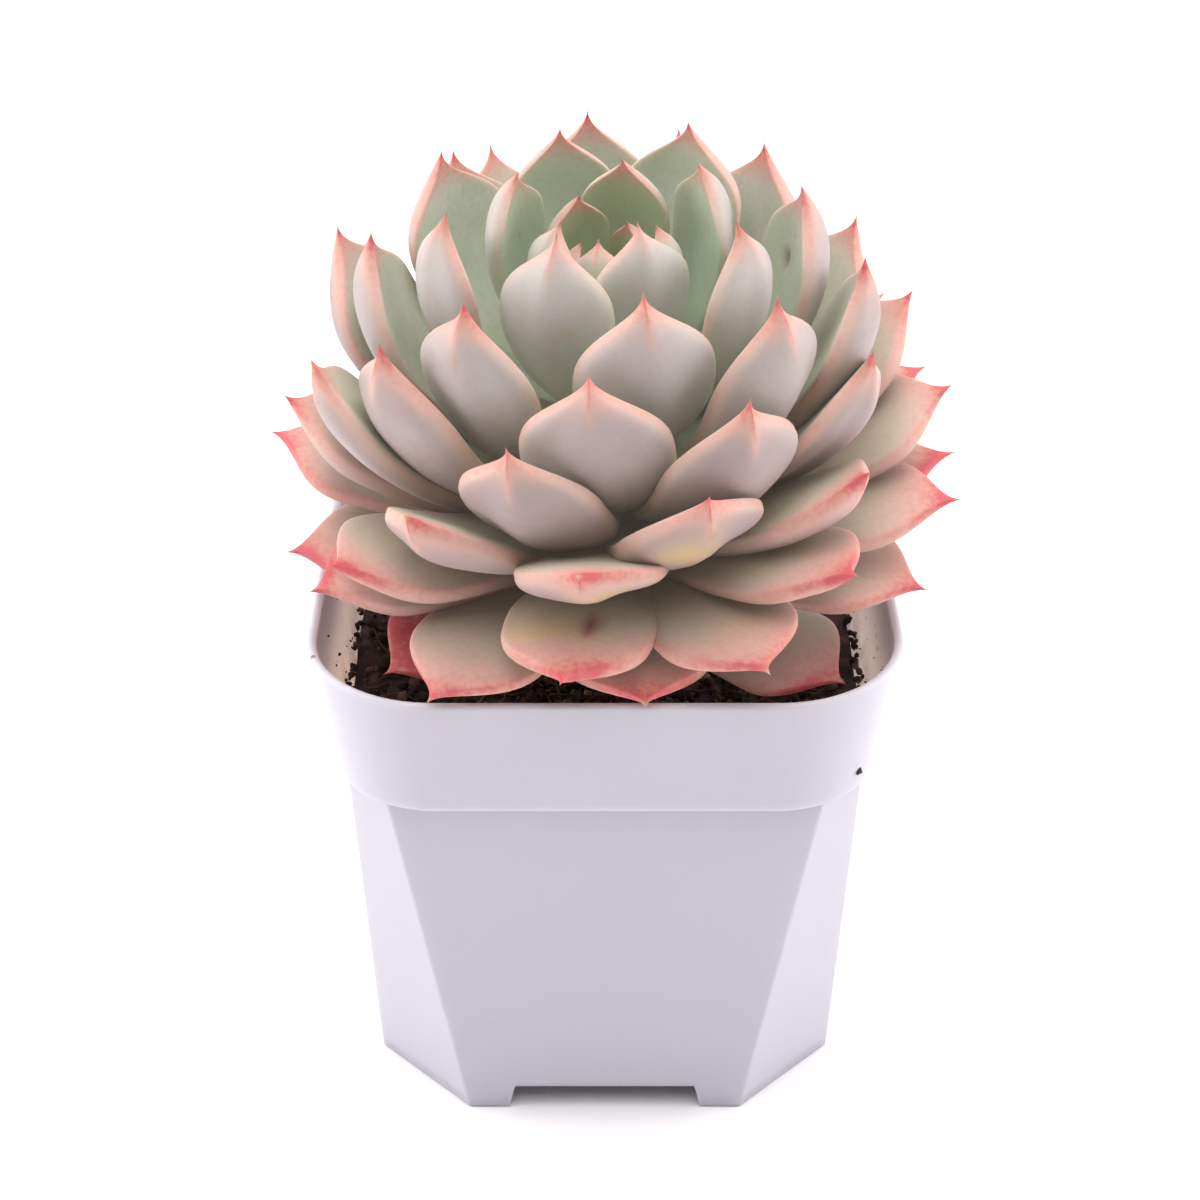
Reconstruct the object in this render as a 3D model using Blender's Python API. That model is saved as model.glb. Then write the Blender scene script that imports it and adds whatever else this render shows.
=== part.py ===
"""Potted succulent: an echeveria rosette in a square white plastic pot.

The pot is a tapered square tub with a stepped rim collar, corners cut by tall facets, and four
corner feet. A short stem rises from the potting mix and carries the leaves along one spiral,
each leaf turned by almost the golden angle from the last. Leaf 0 is the youngest, at the centre.
"""

import math

import bmesh
import bpy
import numpy as np
from mathutils import Matrix, Vector

# The rosette hangs out over the pot's front, so the pot stands behind the origin, which is under
# the middle of the whole plant.
POT_CENTRE_Y = 0.0042

# Pot
POT_HEIGHT = 0.065
RIM_HALF_WIDTH = 0.035
RIM_CORNER = 0.0155
COLLAR_BOTTOM_Z = 0.0485
COLLAR_BOTTOM_HALF_WIDTH = 0.0322
COLLAR_BOTTOM_CORNER = 0.0125
BODY_TOP_HALF_WIDTH = 0.0303
BODY_TOP_CHAMFER = 0.0048
BODY_BOTTOM_HALF_WIDTH = 0.0289
BODY_BOTTOM_CHAMFER = 0.0118
WALL = 0.0012
RIM_ROUND = 0.0004
FLOOR_UNDERSIDE_Z = 0.0039
FLOOR_THICKNESS = 0.0013
NOTCH_HALF_WIDTH = 0.0117
NOTCH_HEIGHT = 0.0034
DRAIN_HOLE_RADIUS = 0.0018
DRAIN_HOLE_SPACING = 0.011
DRAIN_HOLE_SIDES = 10
CORNER_STEPS = 5
CHAMFER_OFFSET = 2.0 - math.sqrt(2.0)

# Potting mix
GAP = 0.0003
SOIL_TOP_Z = 0.0505
SOIL_MOUND = 0.0012

# Stem
STEM_X = 0.0017
STEM_BOTTOM_Z = 0.045
STEM_TOP_Z = 0.0912
STEM_BOTTOM_RADIUS = 0.0050
STEM_TOP_RADIUS = 0.0034
STEM_SIDES = 14
SOCKET_CLEARANCE = 0.0012

# The core of the heart: heights above the stem's end, and radii
HEART_CORE = ((0.0, 0.0030), (0.0055, 0.0028), (0.0140, 0.0006))

# Rosette: it leans forward and a little to one side about the point where the stem leaves the mix.
LEAF_COUNT = 73
HEART_LEAVES = 9
LOWEST_LEAVES = 8
FIRST_LEAF_TURN = math.radians(178.5)
LEAF_TURN = math.radians(136.88)
LEAN_PIVOT_Z = 0.052
LEAN_FORWARD = math.radians(7.8)
LEAN_SIDE = math.radians(-1.8)

# How far out and how high the leaf tips are, and how wide and thick the leaves are, at some leaves
# of the spiral. The other leaves lie on smooth curves through these. BULGE is how far the midline
# sags below the straight line from base to tip, as a share of its length; the oldest leaves arch
# over instead. CUP raises the margins, as a share of the half-width.
SPIRAL_LEAVES = (0, 8, 16, 26, 38, 50, 62, 72)
TIP_REACH = (0.0010, 0.0073, 0.0190, 0.0283, 0.0359, 0.0407, 0.0415, 0.0345)
TIP_HEIGHT = (0.1075, 0.1165, 0.1160, 0.1102, 0.0996, 0.0852, 0.0738, 0.0648)
LEAF_WIDTH = (0.0030, 0.0098, 0.0150, 0.0172, 0.0170, 0.0164, 0.0160, 0.0152)
LEAF_THICKNESS = (0.0012, 0.0024, 0.0034, 0.0038, 0.0038, 0.0035, 0.0031, 0.0028)
BULGE = (0.08, 0.15, 0.19, 0.16, 0.09, 0.01, -0.05, -0.06)
CUP = (0.22, 0.20, 0.14, 0.06, 0.0, -0.04, -0.04, 0.0)
BASE_TOP_Z = 0.0965
BASE_BOTTOM_Z = 0.0575

# The older leaves are propped up on one side of the back.
PROP_LIFT = 0.0070
PROP_TURN = math.radians(115)
PROP_FIRST_LEAF = 40
PROP_FULL_LEAF = 57

# Leaves that stand a little off the spiral: turned in degrees, then reaching further and standing
# higher in millimetres.
HABITS = {
    6: (0, 0.5, -2), 7: (0, -1, -1.5), 12: (3, 0, 1.5), 15: (4, 0, 1.5), 18: (0, 1.5, -0.5), 24: (2, 0, 0),
    29: (-6, 0, 0.5), 30: (-3, 0, 0), 31: (0, 0, 2), 32: (-2, 0.5, -1.5), 34: (0, 0, 2.5), 35: (-3, -2, 1),
    36: (0, 0, 2), 39: (0, 1.5, 0), 41: (-2, 0, -1), 43: (-2, -1.5, 0), 44: (0, -1, 0.5), 45: (0, 0, 1.5),
    46: (-7, 0, 3.5), 48: (2, 0, -1), 49: (-2, 0, -1.5), 51: (3, 0, 0.5), 52: (0, 1, -2.5), 53: (0, 0, 0.5),
    54: (5, 0, -1), 56: (0, 0, -2.5), 57: (3, -2, -2), 59: (1, 0, 2), 61: (2, 0, 0.5), 62: (-2, 0, -0.5),
    63: (0, 0, 1), 64: (5, 0, -3), 65: (0, 0, 2), 66: (0, 0, -1), 67: (-2, -2, 3), 69: (3, 0, -3),
    70: (-5, 0, 1), 71: (0, 0, -2), 72: (8, 0, -5.5),
}

# Leaf shape, as shares of its length, width and thickness
RINGS = (0.0, 0.14, 0.30, 0.46, 0.62, 0.76, 0.87, 0.94)
NECK = 0.38
WIDEST = 0.62
SHOULDER_POWER = 2.1
NECK_THICKNESS = 0.50
KEEL = 0.25
SECTION = (
    (1.0, 0.0), (0.55, 0.5), (0.0, 0.5), (-0.55, 0.5), (-1.0, 0.0), (-0.6, -0.6), (0.0, -1.0), (0.6, -0.6),
)
UPPER_SHARE = 0.25
SUNK_BASE = 0.0009

# Finishes: linear colours and roughnesses. The leaves' colours are for the heart, middle and oldest.
LEAF_COLOURS = ((0.28, 0.40, 0.27), (0.46, 0.50, 0.42), (0.55, 0.42, 0.38))
POT_COLOUR = (0.80, 0.79, 0.82)
SOIL_COLOUR = (0.040, 0.028, 0.020)
STEM_COLOUR = (0.30, 0.34, 0.20)
LEAF_ROUGHNESS = 0.55
POT_ROUGHNESS = 0.35
SOIL_ROUGHNESS = 0.95
STEM_ROUGHNESS = 0.7
SHARP_EDGE = math.radians(35)


def clear_scene():
    for obj in list(bpy.data.objects):
        bpy.data.objects.remove(obj)


def material(name, colour, roughness):
    made = bpy.data.materials.new(name)
    made.use_nodes = True
    shader = made.node_tree.nodes["Principled BSDF"]
    shader.inputs["Base Color"].default_value = (*colour, 1.0)
    shader.inputs["Roughness"].default_value = roughness
    made.diffuse_color = (*colour, 1.0)
    return made


def new_object(name, bm, finish, smooth=True):
    bmesh.ops.recalc_face_normals(bm, faces=bm.faces)
    mesh = bpy.data.meshes.new(name)
    bm.to_mesh(mesh)
    bm.free()
    if smooth:
        mesh.shade_smooth()
        mesh.set_sharp_from_angle(angle=SHARP_EDGE)
    mesh.materials.append(finish)
    obj = bpy.data.objects.new(name, mesh)
    bpy.context.scene.collection.objects.link(obj)
    return obj


def add_ring(bm, points):
    return [bm.verts.new(p) for p in points]


def bridge(bm, lower, upper):
    """Join two rings of the same number of points with quads."""
    count = len(lower)
    for i in range(count):
        j = (i + 1) % count
        bm.faces.new((lower[i], lower[j], upper[j], upper[i]))


def square_outline(half_width, corner, chamfered, z):
    """A square ring whose corners are arcs, or straight cuts if it is chamfered."""
    points = []
    for quarter in range(4):
        turn = Matrix.Rotation(quarter * math.pi / 2, 3, "Z")
        for step in range(CORNER_STEPS + 1):
            share = step / CORNER_STEPS
            angle = share * math.pi / 2
            centre = half_width - corner
            arc = Vector((centre + corner * math.cos(angle), centre + corner * math.sin(angle), 0))
            cut = Vector((half_width - corner * share, centre + corner * share, 0))
            point = turn @ (cut if chamfered else arc)
            points.append(Vector((point.x, point.y, z)))
    return points


def body_ring(z, inset, lift=0.0):
    """The pot's tapered body at height z, moved in by inset and up by lift. Its chamfers narrow upwards."""
    share = z / COLLAR_BOTTOM_Z
    half_width = BODY_BOTTOM_HALF_WIDTH + share * (BODY_TOP_HALF_WIDTH - BODY_BOTTOM_HALF_WIDTH)
    chamfer = BODY_BOTTOM_CHAMFER + share * (BODY_TOP_CHAMFER - BODY_BOTTOM_CHAMFER)
    return square_outline(half_width - inset, chamfer - inset * CHAMFER_OFFSET, True, z + lift)


def collar_ring(z, inset, lift=0.0):
    """The rim collar at height z, moved in by inset and up by lift."""
    share = (z - COLLAR_BOTTOM_Z) / (POT_HEIGHT - COLLAR_BOTTOM_Z)
    half_width = COLLAR_BOTTOM_HALF_WIDTH + share * (RIM_HALF_WIDTH - COLLAR_BOTTOM_HALF_WIDTH)
    corner = COLLAR_BOTTOM_CORNER + share * (RIM_CORNER - COLLAR_BOTTOM_CORNER)
    return square_outline(half_width - inset, corner - inset, False, z + lift)


def closed_loft(name, outlines, finish):
    """A solid through the outlines in order, closed by a flat face at each end."""
    bm = bmesh.new()
    rings = [add_ring(bm, outline) for outline in outlines]
    for lower, upper in zip(rings, rings[1:]):
        bridge(bm, lower, upper)
    bm.faces.new(list(reversed(rings[0])))
    bm.faces.new(rings[-1])
    bmesh.ops.triangulate(bm, faces=bm.faces, quad_method="FIXED")
    return new_object(name, bm, finish)


def cutter(name, bm):
    """An object that only cuts others, and isn't part of the plant itself."""
    obj = new_object(name, bm, material(name, POT_COLOUR, POT_ROUGHNESS), smooth=False)
    obj.hide_render = True
    obj.display_type = "WIRE"
    return obj


def cut(target, tool):
    """Take the tool's volume out of the target."""
    modifier = target.modifiers.new(tool.name, "BOOLEAN")
    modifier.operation = "DIFFERENCE"
    modifier.solver = "EXACT"
    modifier.object = tool


def foot_notches():
    """Four low blocks. Each cuts a notch in the middle of one side of the foot."""
    bm = bmesh.new()
    size = Matrix.Diagonal((RIM_HALF_WIDTH, 2 * NOTCH_HALF_WIDTH, 2 * NOTCH_HEIGHT, 1.0))
    out = Matrix.Translation((RIM_HALF_WIDTH, 0.0, 0.0))
    for quarter in range(4):
        turn = Matrix.Rotation(quarter * math.pi / 2, 4, "Z")
        bmesh.ops.create_cube(bm, size=1.0, matrix=turn @ out @ size)
    return cutter("foot_notch_cutter", bm)


def drain_holes():
    """Nine short rods that cut the floor's drain holes."""
    bm = bmesh.new()
    for column in (-1, 0, 1):
        for row in (-1, 0, 1):
            x = column * DRAIN_HOLE_SPACING
            y = row * DRAIN_HOLE_SPACING
            bmesh.ops.create_cone(
                bm,
                cap_ends=True,
                segments=DRAIN_HOLE_SIDES,
                radius1=DRAIN_HOLE_RADIUS,
                radius2=DRAIN_HOLE_RADIUS,
                depth=4 * FLOOR_THICKNESS,
                matrix=Matrix.Translation((x, y, FLOOR_UNDERSIDE_Z)),
            )
    return cutter("drain_hole_cutter", bm)


def make_pot():
    """One skin: up the outside from the feet, over the rim, down the inside, and under the floor."""
    floor_z = FLOOR_UNDERSIDE_Z + FLOOR_THICKNESS
    inner_step_z = COLLAR_BOTTOM_Z - WALL
    outlines = (
        body_ring(FLOOR_UNDERSIDE_Z, WALL),
        body_ring(0.0, WALL),
        body_ring(0.0, 0.0),
        body_ring(COLLAR_BOTTOM_Z, 0.0),
        collar_ring(COLLAR_BOTTOM_Z, 0.0),
        collar_ring(POT_HEIGHT - RIM_ROUND, 0.0),
        collar_ring(POT_HEIGHT, RIM_ROUND),
        collar_ring(POT_HEIGHT, WALL - RIM_ROUND),
        collar_ring(POT_HEIGHT - RIM_ROUND, WALL),
        collar_ring(COLLAR_BOTTOM_Z, WALL, lift=RIM_ROUND),
        body_ring(inner_step_z, WALL),
        body_ring(floor_z, WALL),
    )
    pot = closed_loft("pot", outlines, material("pot_plastic", POT_COLOUR, POT_ROUGHNESS))
    cut(pot, foot_notches())
    cut(pot, drain_holes())
    return pot


def make_soil():
    """The potting mix fills the pot to below the rim, with a socket round the stem."""
    inset = WALL + GAP
    floor_z = FLOOR_UNDERSIDE_Z + FLOOR_THICKNESS + GAP
    outer = (
        collar_ring(SOIL_TOP_Z, inset + GAP),
        body_ring(COLLAR_BOTTOM_Z - WALL, inset),
        body_ring(floor_z, inset),
    )
    radius = STEM_BOTTOM_RADIUS + SOCKET_CLEARANCE
    angles = [math.atan2(corner.y, corner.x) for corner in outer[0]]
    socket = [
        [Vector((STEM_X + radius * math.cos(a), radius * math.sin(a), z)) for a in angles]
        for z in (STEM_BOTTOM_Z - GAP, SOIL_TOP_Z + SOIL_MOUND)
    ]
    return closed_loft("soil", (*socket, *outer), material("potting_mix", SOIL_COLOUR, SOIL_ROUGHNESS))


def along_spiral(values, leaf):
    """A smooth curve through the values given at SPIRAL_LEAVES, read at one leaf."""
    knots = np.array(SPIRAL_LEAVES, float)
    values = np.array(values, float)
    slopes = np.gradient(values, knots)
    i = int(np.clip(np.searchsorted(knots, leaf, side="right") - 1, 0, len(knots) - 2))
    span = knots[i + 1] - knots[i]
    t = (leaf - knots[i]) / span
    start = values[i] * (1 + 2 * t) * (1 - t) ** 2 + slopes[i] * span * t * (1 - t) ** 2
    end = values[i + 1] * (3 - 2 * t) * t ** 2 + slopes[i + 1] * span * t ** 2 * (t - 1)
    return float(start + end)


def lean_matrix():
    """The rosette's own frame: leaned about the point where the stem leaves the mix."""
    turn = Matrix.Rotation(LEAN_FORWARD, 4, "X") @ Matrix.Rotation(LEAN_SIDE, 4, "Y")
    pivot = Vector((STEM_X, 0.0, LEAN_PIVOT_Z))
    return Matrix.Translation(pivot) @ turn @ Matrix.Translation((0.0, 0.0, -LEAN_PIVOT_Z))


def stem_radius(z):
    share = (z - STEM_BOTTOM_Z) / (STEM_TOP_Z - STEM_BOTTOM_Z)
    return STEM_BOTTOM_RADIUS + share * (STEM_TOP_RADIUS - STEM_BOTTOM_RADIUS)


def leaf_base(leaf):
    """Height of a leaf's base on the stem: even steps down the spiral."""
    return BASE_TOP_Z - (BASE_TOP_Z - BASE_BOTTOM_Z) * leaf / (LEAF_COUNT - 1)


def width_share(along):
    """Narrow at the base, widest at the shoulder, and closing quickly to a pointed tip."""
    if along < WIDEST:
        t = along / WIDEST
        return NECK + (1 - NECK) * t * t * (3 - 2 * t)
    t = (along - WIDEST) / (1 - WIDEST)
    return (1 + math.cos(math.pi * t ** SHOULDER_POWER)) / 2


def thickness_share(along):
    """Fleshy from the neck, thickest at the shoulder, and rounding off to the tip."""
    if along < WIDEST:
        return NECK_THICKNESS + (1 - NECK_THICKNESS) * math.sin(math.pi / 2 * along / WIDEST)
    return math.sqrt(max(0.0, 1 - ((along - WIDEST) / (1 - WIDEST)) ** 2))


def leaf_stance(leaf):
    """A leaf's turn about the stem, and its tip as reach and height."""
    turned, further, higher = HABITS.get(leaf, (0, 0, 0))
    turn = FIRST_LEAF_TURN - LEAF_TURN * leaf + math.radians(turned)
    aged = min(1.0, max(0.0, (leaf - PROP_FIRST_LEAF) / (PROP_FULL_LEAF - PROP_FIRST_LEAF)))
    prop = PROP_LIFT * aged * max(0.0, math.cos(turn - PROP_TURN))
    reach = along_spiral(TIP_REACH, leaf) + further / 1000
    height = along_spiral(TIP_HEIGHT, leaf) + higher / 1000 + prop
    return turn, Vector((reach, height))


def leaf_mesh(leaf, base_gap):
    """A fleshy spoon: rings along a bowed midline, with a keel below and a shallow cup above."""
    base_z = leaf_base(leaf)
    base = Vector((stem_radius(base_z) + base_gap, base_z))
    turn, tip = leaf_stance(leaf)
    chord = tip - base
    below = Vector((chord.y, -chord.x))
    bulge = 4 * along_spiral(BULGE, leaf)
    width = along_spiral(LEAF_WIDTH, leaf)
    thickness = along_spiral(LEAF_THICKNESS, leaf)
    cup = along_spiral(CUP, leaf)
    place = lean_matrix() @ Matrix.Rotation(turn, 4, "Z")

    bm = bmesh.new()
    rings = []
    for along in RINGS:
        middle = base + chord * along + below * (bulge * along * (1 - along))
        direction = (chord + below * (bulge * (1 - 2 * along))).normalized()
        upward = Vector((-direction.y, direction.x))
        half = width / 2 * width_share(along)
        thick = thickness * thickness_share(along)
        points = []
        for across, depth in SECTION:
            side = across * half
            rise = cup * half * across * across
            rise += thick * depth * (UPPER_SHARE if depth > 0 else 1 - UPPER_SHARE)
            if across == 0 and depth < 0:
                rise -= KEEL * thick * along
            place_2d = middle + upward * rise
            points.append(place @ Vector((side, -place_2d.x, place_2d.y)))
        rings.append(add_ring(bm, points))
    for lower, upper in zip(rings, rings[1:]):
        bridge(bm, lower, upper)
    apex = bm.verts.new(place @ Vector((0, -tip.x, tip.y)))
    last = rings[-1]
    for i in range(len(last)):
        bm.faces.new((last[i], last[(i + 1) % len(last)], apex))
    bm.faces.new(list(reversed(rings[0])))
    bmesh.ops.triangulate(bm, faces=bm.faces)
    return bm


def leaf_finish(name, leaf):
    """Green in the heart, pale and powdery half-way, pinker with age."""
    ages = np.linspace(0, LEAF_COUNT - 1, len(LEAF_COLOURS))
    colour = [float(np.interp(leaf, ages, channel)) for channel in zip(*LEAF_COLOURS)]
    return material(name, colour, LEAF_ROUGHNESS)


def round_ring(radius, z, place):
    """A circle about the Z axis at height z, moved by place."""
    angles = [i * 2 * math.pi / STEM_SIDES for i in range(STEM_SIDES)]
    return [place @ Vector((radius * math.cos(a), radius * math.sin(a), z)) for a in angles]


def join_leaves(core, leaves):
    """Grow the given leaves of the spiral out of a core, so that they are one body."""
    for leaf in leaves:
        name = f"{core.name}_guide_{leaf:02d}"
        guide = new_object(name, leaf_mesh(leaf, -SUNK_BASE), leaf_finish(name, leaf))
        guide.hide_render = True
        guide.display_type = "WIRE"
        modifier = core.modifiers.new(name, "BOOLEAN")
        modifier.operation = "UNION"
        modifier.solver = "EXACT"
        modifier.object = guide


def make_stem():
    """The stem, upright in the mix and leaning above it, with the lowest leaves grown into it."""
    upright = Matrix.Translation((STEM_X, 0.0, 0.0))
    outlines = (
        round_ring(stem_radius(STEM_BOTTOM_Z), STEM_BOTTOM_Z, upright),
        round_ring(stem_radius(SOIL_TOP_Z), SOIL_TOP_Z, upright),
        round_ring(stem_radius(STEM_TOP_Z), STEM_TOP_Z, lean_matrix()),
    )
    stem = closed_loft("stem_and_lowest_leaves", outlines, material("stem_skin", STEM_COLOUR, STEM_ROUGHNESS))
    join_leaves(stem, range(LEAF_COUNT - LOWEST_LEAVES, LEAF_COUNT))
    return stem


def make_heart():
    """The youngest leaves, joined round a small core above the stem's end."""
    bottom_z = STEM_TOP_Z + GAP
    outlines = [round_ring(radius, bottom_z + height, lean_matrix()) for height, radius in HEART_CORE]
    heart = closed_loft("heart_bud", outlines, material("heart_skin", LEAF_COLOURS[0], LEAF_ROUGHNESS))
    join_leaves(heart, range(HEART_LEAVES))
    return heart


def make_leaves():
    """Every other leaf, each a body of its own."""
    leaves = []
    for leaf in range(HEART_LEAVES, LEAF_COUNT - LOWEST_LEAVES):
        name = f"leaf_{leaf - HEART_LEAVES + 1:02d}"
        leaves.append(new_object(name, leaf_mesh(leaf, GAP), leaf_finish(f"{name}_skin", leaf)))
    return leaves


def main():
    """Build everything and set the pot behind the origin."""
    clear_scene()
    plant = bpy.data.objects.new("plant", None)
    bpy.context.scene.collection.objects.link(plant)
    plant.location = (0.0, POT_CENTRE_Y, 0.0)
    for obj in [make_pot(), make_soil(), make_stem(), make_heart(), *make_leaves()]:
        obj.parent = plant
    for obj in bpy.data.objects:
        if obj.hide_render:
            obj.parent = plant


main()
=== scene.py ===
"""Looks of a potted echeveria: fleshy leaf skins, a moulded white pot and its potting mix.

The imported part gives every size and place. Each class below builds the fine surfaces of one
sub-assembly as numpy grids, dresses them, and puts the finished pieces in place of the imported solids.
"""

import logging
import math
from dataclasses import dataclass, field
from enum import Enum

import bpy
import numpy as np
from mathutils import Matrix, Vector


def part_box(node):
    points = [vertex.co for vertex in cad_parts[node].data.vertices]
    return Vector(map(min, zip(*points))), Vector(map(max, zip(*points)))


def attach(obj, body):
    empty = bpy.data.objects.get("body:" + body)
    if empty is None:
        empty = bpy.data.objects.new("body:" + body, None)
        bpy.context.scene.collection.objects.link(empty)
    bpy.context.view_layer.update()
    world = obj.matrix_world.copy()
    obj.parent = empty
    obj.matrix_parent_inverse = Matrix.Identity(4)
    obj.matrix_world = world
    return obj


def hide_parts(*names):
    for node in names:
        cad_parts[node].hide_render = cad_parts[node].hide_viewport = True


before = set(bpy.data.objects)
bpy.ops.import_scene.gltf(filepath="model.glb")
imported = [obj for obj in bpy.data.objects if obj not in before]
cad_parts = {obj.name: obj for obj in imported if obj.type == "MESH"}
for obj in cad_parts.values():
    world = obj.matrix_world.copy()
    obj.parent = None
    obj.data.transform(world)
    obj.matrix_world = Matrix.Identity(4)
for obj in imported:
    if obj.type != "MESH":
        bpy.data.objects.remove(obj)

LOG = logging.getLogger("potted_succulent")
Array = np.ndarray
Colour = tuple[float, float, float]
MM = 0.001


# --------------------------------------------------------------------------- mesh and noise tools

def smooth_step(low: float, high: float, value: Array) -> Array:
    """Ease from 0 at low to 1 at high: 3t squared less 2t cubed.

    Args:
        low: Value where the ramp starts.
        high: Value where the ramp ends.
        value: Values to ease.

    Returns:
        Eased values in 0 to 1.
    """
    share = np.clip((value - low) / (high - low), 0.0, 1.0)
    return share * share * (3.0 - 2.0 * share)


def value_noise(points: Array, size: float, seed: int) -> Array:
    """Smooth noise: random values on a cubic lattice, blended with eased weights.

    Args:
        points: Positions, one row each, in metres.
        size: Lattice spacing in metres.
        seed: Seed of the lattice values.

    Returns:
        Values in -1 to 1, one for each point.
    """
    lattice = np.random.default_rng(seed).uniform(-1.0, 1.0, (32, 32, 32))
    scaled = points / size + 1000.0
    cell = np.floor(scaled).astype(int)
    ease = scaled - cell
    ease = ease * ease * (3.0 - 2.0 * ease)
    total = np.zeros(len(points))
    for corner in range(8):
        step = np.array([corner & 1, corner >> 1 & 1, corner >> 2 & 1])
        weight = np.prod(np.where(step, ease, 1.0 - ease), axis=1)
        at = (cell + step) % 32
        total += weight * lattice[at[:, 0], at[:, 1], at[:, 2]]
    return total


def closed_grid_faces(rows: int, columns: int) -> tuple[Array, Array]:
    """Quads of a grid that closes round its columns, and fans that close its two ends.

    The two pole points follow the grid points: first the first row's pole, then the last row's.

    Args:
        rows: Rings of points.
        columns: Points in each ring.

    Returns:
        Quads and triangles as arrays of point numbers.
    """
    row, column = np.meshgrid(np.arange(rows - 1), np.arange(columns), indexing="ij")
    after = (column + 1) % columns
    quads = np.stack([row * columns + column, row * columns + after,
                      (row + 1) * columns + after, (row + 1) * columns + column], axis=-1)
    ring = np.arange(columns)
    following = (ring + 1) % columns
    last = (rows - 1) * columns
    first_fan = np.stack([np.full(columns, rows * columns), following, ring], axis=-1)
    last_fan = np.stack([np.full(columns, rows * columns + 1), last + ring, last + following], axis=-1)
    return quads.reshape(-1, 4), np.concatenate([first_fan, last_fan])


@dataclass
class Surface:
    """Points, faces and per-point fields of a mesh that is being made."""

    points: Array
    quads: Array
    triangles: Array
    fields: dict[str, Array] = field(default_factory=dict)

    def volume(self) -> float:
        """Signed volume: the sum of the faces' pyramids to the origin."""
        cut = np.concatenate([self.triangles, self.quads[:, [0, 1, 2]], self.quads[:, [0, 2, 3]]])
        a, b, c = (self.points[cut[:, i]] for i in range(3))
        return float(np.einsum("ij,ij->i", a, np.cross(b, c)).sum() / 6.0)

    def face_outwards(self) -> "Surface":
        """Turn every face over if the surface is inside out."""
        if self.volume() < 0.0:
            self.quads = self.quads[:, ::-1]
            self.triangles = self.triangles[:, ::-1]
        return self

    @staticmethod
    def joined(parts: list["Surface"]) -> "Surface":
        """One surface that holds all the parts.

        Args:
            parts: Surfaces with the same fields.

        Returns:
            Their points and faces together.
        """
        starts = np.cumsum([0] + [len(part.points) for part in parts[:-1]])
        return Surface(
            np.concatenate([part.points for part in parts]),
            np.concatenate([part.quads + start for part, start in zip(parts, starts)]),
            np.concatenate([part.triangles + start for part, start in zip(parts, starts)]),
            {name: np.concatenate([part.fields[name] for part in parts]) for name in parts[0].fields},
        )

    def to_object(self, name: str, material: bpy.types.Material) -> bpy.types.Object:
        """Put the surface into a smooth-shaded object at the origin.

        Args:
            name: The piece's name.
            material: Its finish.

        Returns:
            The new object, linked to the scene.
        """
        mesh = bpy.data.meshes.new(name)
        corners = np.concatenate([self.quads.ravel(), self.triangles.ravel()]).astype(np.int32)
        sides = np.concatenate([np.full(len(self.quads), 4), np.full(len(self.triangles), 3)])
        starts = np.concatenate([[0], np.cumsum(sides)[:-1]]).astype(np.int32)
        mesh.vertices.add(len(self.points))
        mesh.vertices.foreach_set("co", self.points.astype(np.float32).ravel())
        mesh.loops.add(len(corners))
        mesh.loops.foreach_set("vertex_index", corners)
        mesh.polygons.add(len(sides))
        mesh.polygons.foreach_set("loop_start", starts)
        mesh.update(calc_edges=True)
        mesh.validate()
        mesh.shade_smooth()
        for title, values in self.fields.items():
            attribute = mesh.attributes.new(title, "FLOAT", "POINT")
            attribute.data.foreach_set("value", values.astype(np.float32))
        mesh.materials.append(material)
        made = bpy.data.objects.new(name, mesh)
        bpy.context.scene.collection.objects.link(made)
        return made


def hand_over(piece: bpy.types.Object, nodes: list[str]) -> None:
    """Fix a finished piece to the plant and let it stand for its solids.

    Args:
        piece: The finished object.
        nodes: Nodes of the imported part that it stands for.
    """
    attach(piece, "root")
    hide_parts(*nodes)
    LOG.info("%s: %d points", piece.name, len(piece.data.vertices))


# --------------------------------------------------------------------------- shader tools

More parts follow.
